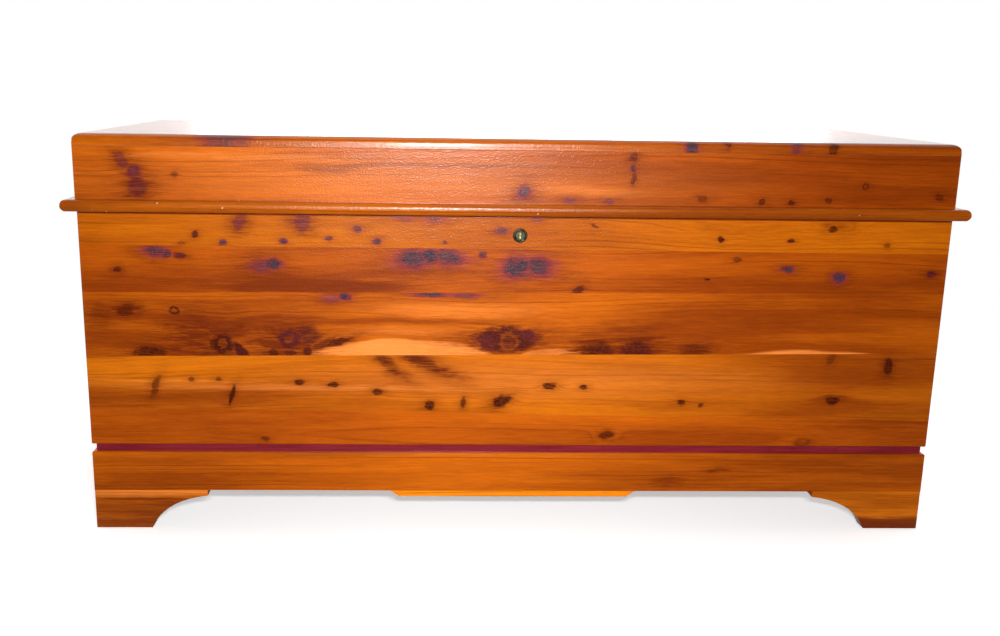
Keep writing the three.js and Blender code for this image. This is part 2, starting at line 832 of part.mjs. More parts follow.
function addStay() {
  const hingeAxis = new THREE.Group();
  hingeAxis.position.set(0, hingeAxisY, lidJointHeight);
  chest.add(hingeAxis);
  const set = (piece, [y, z], turn = 0) => {
    piece.position.set(0, y, z);
    piece.rotation.x = turn;
  };

  const caseBracket = joined(
    stayPlate(stayWall),
    headedStud(stayWall - stayPlateThickness / 2, lowerArmInner, 0),
  );
  set(addPiece("stay_case_bracket", caseBracket, steel, hingeAxis), casePivot);

  const lidWall = lidHalf - boardThickness;
  const bossInner = upperArmOuter + stayGap;
  const lidBracket = joined(
    stayPlate(lidWall),
    barAlongWidth(stayBossRadius, bossInner, lidWall - stayPlateThickness / 2, 0, 0),
    headedStud(lidWall - stayPlateThickness / 2, upperArmInner, 0),
  );
  set(addPiece("stay_lid_bracket", lidBracket, steel, hingeAxis), lidPivot);

  // Each arm lies along the line from the hinge pin to the other arm's pivot.
  const elbowStud = headedStud(lowerArmInner + stayGap, upperArmInner, stayArmLength);
  const lowerArm = joined(cut(stayBar(lowerArmOuter), stayHole(0, lowerArmInner)), elbowStud);
  const lowerTurn = Math.atan2(lidPivot[1], lidPivot[0]);
  set(addPiece("stay_lower_arm", lowerArm, steel, hingeAxis), casePivot, lowerTurn);

  const upperArm = cut(
    stayBar(upperArmOuter),
    stayHole(0, upperArmInner),
    stayHole(stayArmLength, upperArmInner),
  );
  const upperTurn = Math.atan2(casePivot[1], casePivot[0]);
  set(addPiece("stay_upper_arm", upperArm, steel, hingeAxis), lidPivot, upperTurn);
}

addCase();
addBottom();
addStripsAndRails();
addFeet();
addFrontDrop();
addLidTop();
addLidRails();
addMoulding();
addHinges();
addLock();
addStay();

export default chest;
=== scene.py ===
"""Cedar blanket chest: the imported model's pieces dressed with lacquered wood and hardware."""
import json
import math
import random
from typing import NamedTuple

import bmesh
import bpy
from bpy.props import FloatProperty, FloatVectorProperty, IntProperty, PointerProperty
from mathutils import Euler, Matrix, Vector

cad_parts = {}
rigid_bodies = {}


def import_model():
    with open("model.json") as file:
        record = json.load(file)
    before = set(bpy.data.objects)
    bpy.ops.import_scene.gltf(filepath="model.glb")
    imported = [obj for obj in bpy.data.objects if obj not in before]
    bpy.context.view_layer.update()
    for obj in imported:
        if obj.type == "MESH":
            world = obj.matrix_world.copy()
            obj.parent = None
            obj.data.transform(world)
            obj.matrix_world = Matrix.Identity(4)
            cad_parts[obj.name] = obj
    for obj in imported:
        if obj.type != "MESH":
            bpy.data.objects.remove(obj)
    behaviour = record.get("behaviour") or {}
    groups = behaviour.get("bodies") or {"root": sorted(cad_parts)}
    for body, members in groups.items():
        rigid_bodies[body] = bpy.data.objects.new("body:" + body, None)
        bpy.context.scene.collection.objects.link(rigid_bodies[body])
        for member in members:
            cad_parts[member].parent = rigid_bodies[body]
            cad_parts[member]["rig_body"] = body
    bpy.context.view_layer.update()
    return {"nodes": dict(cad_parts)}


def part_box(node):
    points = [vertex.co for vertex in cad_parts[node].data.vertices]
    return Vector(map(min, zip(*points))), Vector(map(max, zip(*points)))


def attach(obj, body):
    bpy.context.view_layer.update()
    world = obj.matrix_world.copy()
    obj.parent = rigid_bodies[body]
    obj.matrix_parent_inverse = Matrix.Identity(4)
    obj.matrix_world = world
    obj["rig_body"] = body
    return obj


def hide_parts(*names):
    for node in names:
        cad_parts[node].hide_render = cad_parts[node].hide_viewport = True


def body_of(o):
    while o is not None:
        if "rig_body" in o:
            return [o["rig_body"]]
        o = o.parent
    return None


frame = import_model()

bl_info = {
    "name": "Cedar Blanket Chest",
    "version": (1, 0, 0),
    "blender": (4, 5, 0),
    "location": "3D View > Sidebar > Chest",
    "description": "Dresses the pieces of a cedar blanket chest and lights them",
    "category": "Object",
}

MM = 0.001
TOUCH = 0.05 * MM

NODES = sorted(frame["nodes"])
CASE_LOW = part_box("front_board_5")[0]
CASE_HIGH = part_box("back_board_1")[1]
CASE_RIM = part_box("front_board_1")[1].z
LID_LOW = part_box("front_lid_rail")[0]
LID_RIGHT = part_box("right_lid_rail")[1].x
LID_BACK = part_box("back_lid_rail")[1].y
LID_JOINT, LID_TOP = (corner.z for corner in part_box("lid_top_board_1"))
LID_HIGH = Vector((LID_RIGHT, LID_BACK, LID_TOP))
FRONT = CASE_LOW.y
BACK = CASE_HIGH.y

UP = Vector((0, 0, 1))
REARWARD = Vector((0, 1, 0))
RIGHTWARD = Vector((1, 0, 0))
OUTWARD = {
    "front": -REARWARD,
    "back": REARWARD,
    "left": -RIGHTWARD,
    "right": RIGHTWARD,
    "lid_top": UP,
}


def paint(code):
    """Linear colour of a six-figure colour code."""
    shares = [int(code[i : i + 2], 16) / 255 for i in (0, 2, 4)]
    return tuple(s / 12.92 if s <= 0.04045 else ((s + 0.055) / 1.055) ** 2.4 for s in shares)


# Node trees

# Sockets of a Mix node for colours, by number, because those for numbers have the same names.
MIX_SHARE, MIX_FIRST, MIX_SECOND, MIX_RESULT = 0, 6, 7, 2


def feed(tree, socket, value):
    """Links a socket into an input, or writes a value on it."""
    if isinstance(value, bpy.types.NodeSocket):
        tree.links.new(value, socket)
    elif socket.type == "RGBA" and len(value) == 3:
        socket.default_value = (*value, 1)
    else:
        socket.default_value = value


def put(tree, kind, inputs=None, **settings):
    """One shader node with its settings, and its inputs linked or written."""
    node = tree.nodes.new("ShaderNode" + kind)
    for name, value in settings.items():
        setattr(node, name, value)
    for name, value in (inputs or {}).items():
        feed(tree, node.inputs[name], value)
    return node


def calc(tree, operation, *values, clamp=False):
    return put(tree, "Math", dict(enumerate(values)), operation=operation, use_clamp=clamp).outputs[0]


def times(tree, first, *others, clamp=False):
    """The product of values."""
    for other in others:
        first = calc(tree, "MULTIPLY", first, other, clamp=clamp)
    return first


def weighed(tree, *pairs, start=0.0, clamp=False):
    """The sum of values, each times its weight."""
    total = start
    for value, weight in pairs:
        total = calc(tree, "MULTIPLY_ADD", value, weight, total, clamp=clamp)
    return total


def vector_calc(tree, operation, *values):
    node = put(tree, "VectorMath", dict(enumerate(values)), operation=operation)
    return node.outputs["Value" if operation == "LENGTH" else "Vector"]


def scaled(tree, vector, shares):
    """A vector with each axis times its share."""
    return vector_calc(tree, "MULTIPLY", vector, shares)


def length_of(tree, vector, shares=None):
    """The length of a vector, after each axis is scaled by its share where there are shares."""
    return vector_calc(tree, "LENGTH", scaled(tree, vector, shares) if shares else vector)


def ramp(tree, value, low, high, to_low=0.0, to_high=1.0):
    """A value taken smoothly from one range to another, and held at the ends."""
    inputs = {"Value": value, "From Min": low, "From Max": high, "To Min": to_low, "To Max": to_high}
    return put(tree, "MapRange", inputs, interpolation_type="SMOOTHSTEP").outputs["Result"]


def blend(tree, share, first, second, mode="MIX"):
    """Mixes two colours."""
    inputs = {MIX_SHARE: share, MIX_FIRST: first, MIX_SECOND: second}
    node = put(tree, "Mix", inputs, data_type="RGBA", blend_type=mode, clamp_result=True)
    return node.outputs[MIX_RESULT]


def noise(tree, vector, scale=1.0, detail=2.0, roughness=0.5, stretch=None, output="Fac"):
    """Noise between 0 and 1 over a vector, stretched by a scale for each axis."""
    if stretch is not None:
        vector = scaled(tree, vector, stretch)
    inputs = {"Vector": vector, "Scale": scale, "Detail": detail, "Roughness": roughness}
    return put(tree, "TexNoise", inputs).outputs[output]


def centred_noise(tree, vector, **settings):
    """Three noises at once, as a vector whose axes run between -0.5 and 0.5."""
    colour = noise(tree, vector, output="Color", **settings)
    return vector_calc(tree, "SUBTRACT", colour, (0.5, 0.5, 0.5))


def new_group(name, outputs, vectors=(), floats=(), colours=()):
    """An empty node group with named sockets: its tree, its inputs and its outputs."""
    tree = bpy.data.node_groups.new(name, "ShaderNodeTree")
    sockets = [(label, "INPUT", "Vector") for label in vectors]
    sockets += [(label, "INPUT", "Float") for label in floats]
    sockets += [(label, "INPUT", "Color") for label in colours]
    sockets += [(label, "OUTPUT", "Color" if label == "Color" else "Float") for label in outputs]
    for label, direction, kind in sockets:
        tree.interface.new_socket(name=label, in_out=direction, socket_type="NodeSocket" + kind)
    return tree, tree.nodes.new("NodeGroupInput").outputs, tree.nodes.new("NodeGroupOutput").inputs


def use_group(tree, name, inputs):
    """Places a group in a material, makes it first if it is new, and returns its outputs."""
    if name not in bpy.data.node_groups:
        GROUP_MAKERS[name]()
    node = tree.nodes.new("ShaderNodeGroup")
    node.node_tree = bpy.data.node_groups[name]
    for label, value in inputs.items():
        feed(tree, node.inputs[label], value)
    return node.outputs


KNOT_MASKS = ("Bend", "Core", "Inner", "Halo", "Purple")
FIGURE_MASKS = ("Line", "Band", "Streak", "Dark Vein", "Pale Vein", "Fibre")
WOOD_COLOURS = (
    "Bright",
    "Deep",
    "Ring",
    "Sapwood Colour",
    "Halo Colour",
    "Heart",
    "Purple Rim",
    "Purple Heart",
    "Purple Speck",
)
SEED_SHIFT = (7.31, 3.17, 5.53)  # metres along each axis for each step of a board's seed


def in_oval(tree, given, **turn):
    """A place on the face as an oval measures it: its edge is 1 away from its centre."""
    placing = {"Vector": given["Vector"], "Location": given["Centre"], "Scale": given["Half Size"]}
    local = put(tree, "Mapping", {**placing, **turn}, vector_type="TEXTURE").outputs["Vector"]
    return scaled(tree, local, (1, 1, 0))


def bell(tree, distance):
    """A smooth bell over a distance, and the exponent that it is made from."""
    exponent = times(tree, distance, distance, -1.0)
    return calc(tree, "EXPONENT", exponent), exponent


def knot_group():
    """Adds one knot to the masks of a board.

    Bend lifts the growth rings round it, Core is its heart, Inner runs to its middle, and
    Halo is the dark wood that trails off along the grain. Fray pulls its edge out in fibres.
    """
    vectors = ("Vector", "Fray", "Centre", "Half Size", "Turn")
    depths = ("Core Depth", "Halo Depth", "Purple Share", "Openness", "Bend Height")
    tree, given, out = new_group("Cedar Knot", KNOT_MASKS, vectors, (*depths, *KNOT_MASKS))
    local = in_oval(tree, given, Rotation=given["Turn"])
    ragged = vector_calc(tree, "ADD", local, scaled(tree, given["Fray"], (0.7, 0.7, 0)))
    streaky = vector_calc(tree, "ADD", local, scaled(tree, given["Fray"], (2.2, 0.5, 0)))
    distance = length_of(tree, ragged)
    inside = ramp(tree, distance, 1.25, 0.7)
    inner = ramp(tree, distance, 1.0, 0.35)
    pale = times(tree, ramp(tree, distance, 0.62, 0.36), given["Openness"])
    core = times(tree, inside, calc(tree, "SUBTRACT", 1.0, pale), given["Core Depth"])
    opened = times(tree, inside, given["Openness"], 0.7)
    under = times(tree, given["Core"], calc(tree, "SUBTRACT", 1.0, opened))
    around, exponent = bell(tree, length_of(tree, streaky, (0.5, 0.62, 0)))
    halo = times(tree, around, given["Halo Depth"])
    near = calc(tree, "EXPONENT", times(tree, exponent, 1.3))
    purple = times(tree, near, given["Purple Share"])
    lifted, _ = bell(tree, length_of(tree, local, (0.45, 0.7, 0)))
    feed(tree, out["Bend"], calc(tree, "MULTIPLY_ADD", lifted, given["Bend Height"], given["Bend"]))
    feed(tree, out["Core"], calc(tree, "MAXIMUM", under, core))
    feed(tree, out["Inner"], calc(tree, "MAXIMUM", given["Inner"], inner))
    feed(tree, out["Halo"], calc(tree, "MAXIMUM", given["Halo"], halo))
    feed(tree, out["Purple"], calc(tree, "MAXIMUM", given["Purple"], purple))


def patch_group():
    """Adds one long patch to a mask, with an edge between soft and sharp."""
    vectors = ("Vector", "Centre", "Half Size")
    tree, given, out = new_group("Cedar Patch", ("Mask",), vectors, ("Edge", "Depth", "Mask"))
    outer = calc(tree, "ADD", 1.0, given["Edge"])
    inner = calc(tree, "SUBTRACT", 1.0, given["Edge"])
    patch = ramp(tree, length_of(tree, in_oval(tree, given)), outer, inner)
    patch = times(tree, patch, given["Depth"])
    feed(tree, out["Mask"], calc(tree, "MAXIMUM", given["Mask"], patch))


def figure_group():
    """The growth rings of a board and the streaks that follow them.

    The board's own axes are along the grain, across it, and out of its face.
    """
    floats = ("Bend", "Ring Spacing", "Wander", "Seed")
    tree, given, out = new_group("Cedar Figure", FIGURE_MASKS, ("Vector", "Pith"), floats)
    shift = put(tree, "VectorMath", {0: SEED_SHIFT, "Scale": given["Seed"]}, operation="SCALE")
    place = vector_calc(tree, "ADD", given["Vector"], shift.outputs["Vector"])
    slow = noise(tree, place, stretch=(1.3, 7.0, 7.0), detail=1.0)
    ripple = noise(tree, place, stretch=(4.0, 24.0, 24.0), detail=1.0)
    wander = weighed(tree, (slow, 1.0), (ripple, 0.14), start=-0.57)
    from_pith = vector_calc(tree, "SUBTRACT", given["Vector"], given["Pith"])
    radius = calc(tree, "ADD", length_of(tree, from_pith, (0, 1, 1)), given["Bend"])
    bent = calc(tree, "MULTIPLY_ADD", wander, given["Wander"], radius)
    ring = calc(tree, "DIVIDE", bent, given["Ring Spacing"])
    step = calc(tree, "FRACT", ring)
    line = times(tree, ramp(tree, step, 0.58, 0.93), ramp(tree, step, 1.0, 0.96))
    run = put(tree, "SeparateXYZ", {"Vector": place}).outputs["X"]
    # A place in the grain itself: along it, and from ring to ring.
    in_grain = put(tree, "CombineXYZ", {"X": run, "Y": ring, "Z": given["Seed"]}).outputs["Vector"]
    band = noise(tree, in_grain, stretch=(2.0, 0.16, 1.0), detail=2.0, roughness=0.6)
    streak = noise(tree, in_grain, stretch=(3.0, 0.8, 1.0), detail=4.0, roughness=0.66)
    vein = noise(tree, in_grain, stretch=(3.4, 1.5, 3.0), detail=2.5, roughness=0.55)
    strength = noise(tree, in_grain, stretch=(1.6, 0.4, 5.0), detail=1.0)
    fibre = noise(tree, place, stretch=(40.0, 700.0, 700.0), detail=2.0, roughness=0.6)
    feed(tree, out["Line"], times(tree, line, ramp(tree, strength, 0.42, 0.68)))
    feed(tree, out["Band"], ramp(tree, band, 0.32, 0.68))
    feed(tree, out["Streak"], ramp(tree, streak, 0.32, 0.7))
    feed(tree, out["Dark Vein"], ramp(tree, vein, 0.6, 0.76))
    feed(tree, out["Pale Vein"], ramp(tree, vein, 0.4, 0.24))
    feed(tree, out["Fibre"], ramp(tree, fibre, 0.3, 0.7))


def colour_group():
    """Colours a board from the masks of its figure, knots, sapwood, dark streaks and painted shade."""
    masks = (*FIGURE_MASKS, "Core", "Inner", "Halo", "Purple", "Sapwood", "Shade", "Mottle")
    tree, given, out = new_group("Cedar Colour", ("Color",), floats=masks, colours=WOOD_COLOURS)
    # Shade darkens the wood towards Deep and, past that, towards Ring; it carries the dark streaks, the
    # painted shade at the ends of the boards and the painted shadow under the moulding.
    depth = weighed(
        tree,
        (given["Band"], 0.7),
        (given["Streak"], 0.14),
        (given["Fibre"], 0.1),
        (given["Shade"], 0.6),
        (given["Pale Vein"], -0.25),
        start=-0.11,
    )
    wood = blend(tree, calc(tree, "ADD", depth, 0.0, clamp=True), given["Bright"], given["Deep"])
    wood = blend(tree, times(tree, ramp(tree, depth, 0.9, 1.6), 0.6), wood, given["Ring"])
    wood = blend(tree, times(tree, given["Line"], 0.52), wood, given["Ring"])
    wood = blend(tree, times(tree, given["Dark Vein"], 0.22), wood, given["Ring"])
    faint = weighed(tree, (given["Line"], 0.12), (given["Streak"], 0.2))
    sap = blend(tree, faint, given["Sapwood Colour"], given["Bright"])
    wood = blend(tree, given["Sapwood"], wood, sap)
    brushed = weighed(tree, (given["Streak"], 0.7), (given["Fibre"], 0.5), start=0.3)
    shaded = times(tree, given["Halo"], brushed, clamp=True)
    tinged = ramp(tree, given["Purple"], 0.25, 0.9)
    halo = blend(tree, tinged, given["Halo Colour"], given["Purple Rim"])
    wood = blend(tree, shaded, wood, halo)
    # The heart of a knot is brown, or mottled in purple and near black.
    depth_in = weighed(tree, (given["Mottle"], -0.35), (given["Inner"], 1.0), start=0.6, clamp=True)
    dark = blend(tree, depth_in, given["Ring"], given["Heart"])
    plum = blend(tree, times(tree, given["Purple"], 0.8), dark, given["Purple Rim"])
    mottled = weighed(tree, (given["Mottle"], 0.8), (given["Inner"], 0.9), start=-0.65)
    blue = ramp(tree, given["Purple"], 0.45, 0.75)
    greyed = times(tree, ramp(tree, mottled, 0.0, 0.6), blue)
    heart = blend(tree, greyed, plum, given["Purple Heart"])
    # The rings of the branch itself show as thin pale arcs and specks.
    turns = weighed(tree, (given["Inner"], 3.0), (given["Mottle"], 0.9))
    arc = ramp(tree, calc(tree, "PINGPONG", turns, 0.5), 0.34, 0.5)
    speck = blend(tree, greyed, given["Bright"], given["Purple Speck"])
    shown = times(tree, arc, weighed(tree, (blue, 0.2), start=0.14))
    heart = blend(tree, shown, heart, speck)
    grainy = weighed(tree, (given["Fibre"], 0.2), (given["Mottle"], -0.3), start=1.05)
    wood = blend(tree, times(tree, given["Core"], grainy, clamp=True), wood, heart)
    value = weighed(tree, (given["Fibre"], -0.16), start=1.04)
    grey = put(tree, "CombineColor", {"Red": value, "Green": value, "Blue": value}).outputs["Color"]
    feed(tree, out["Color"], blend(tree, 1.0, wood, grey, mode="MULTIPLY"))


def lacquer_group():
    """The relief of brushed lacquer, in heights, and the dust and nicks caught in it."""
    tree, given, out = new_group("Lacquer", ("Height", "Fleck"), ("Vector",), ("Line", "Nicks"))
    peel = noise(tree, given["Vector"], scale=500.0, detail=1.0)
    wave = noise(tree, given["Vector"], stretch=(25.0, 90.0, 90.0), detail=1.0)
    dust = noise(tree, given["Vector"], scale=170.0, detail=0.0)
    fleck = times(tree, ramp(tree, dust, 0.83, 0.88), given["Nicks"])
    height = weighed(tree, (peel, 1.0), (wave, 0.6), (given["Line"], 0.1), (fleck, 1.2))
    feed(tree, out["Height"], height)
    feed(tree, out["Fleck"], fleck)


def metal_group():
    """Old metal: tarnish in clouds, fine brushing and scattered pits."""
    outputs = ("Tarnish", "Height", "Roughness")
    tree, given, out = new_group("Old Metal", outputs, ("Vector", "Brush"), ("Tarnish",))
    cloud = noise(tree, given["Vector"], scale=120.0, detail=4.0, roughness=0.65)
    speck = noise(tree, given["Vector"], scale=900.0, detail=1.0)
    brushing = noise(tree, given["Vector"], stretch=given["Brush"], detail=2.0)
    clouded = times(tree, ramp(tree, cloud, 0.38, 0.66), given["Tarnish"])
    pits = ramp(tree, speck, 0.68, 0.78)
    feed(tree, out["Tarnish"], calc(tree, "MAXIMUM", clouded, times(tree, pits, 0.6)))
    feed(tree, out["Height"], weighed(tree, (brushing, 0.5), (pits, -0.5)))
    feed(tree, out["Roughness"], weighed(tree, (brushing, 0.16), (clouded, 0.25), start=0.2))


GROUP_MAKERS = {
    "Cedar Knot": knot_group,
    "Cedar Patch": patch_group,
    "Cedar Figure": figure_group,
    "Cedar Colour": colour_group,
    "Lacquer": lacquer_group,
    "Old Metal": metal_group,
}


# How the boards were sawn


class Knot(NamedTuple):
    """One knot on a board's face, in millimetres and degrees, with its depths as shares."""

    run: float
    rise: float
    half_run: float
    half_rise: float
    turn: float = 0
    core: float = 0.9
    halo: float = 0.5
    purple: float = 0
    openness: float = 0
    bend: float = 2.5


class Patch(NamedTuple):
    """A long patch of pale or darker wood, or of painted shade, in millimetres, with its edge and depth
    as shares.
    """

    run: float
    rise: float
    half_run: float
    half_rise: float
    edge: float = 0.07
    depth: float = 1


class Board(NamedTuple):
    """How one board was sawn and coloured.

    The pith lies across the grain from the middle of the board and behind its face, in
    millimetres, as are the ring spacing and the wander of the rings. The edges of sapwood,
    dark streaks and painted shade wander a little, and those of the painted shadow under the
    moulding are straight.
    """

    bright: str = "dc7a0c"
    deep: str = "a85004"
    ring: str = "6a2200"
    pith_across: float = 60
    pith_behind: float = 50
    spacing: float = 5
    wander: float = 40
    seed: float = 0
    knots: tuple = ()
    sapwood: tuple = ()
    # Dark streaks in the wood, and painted shade: wide patches at a board's ends darken it where the
    # lamp's light falls off.
    dark_streaks_and_painted_shade: tuple = ()
    # Painted shadow: a straight dark line where the moulding shades the board below it.
    painted_shadow: tuple = ()
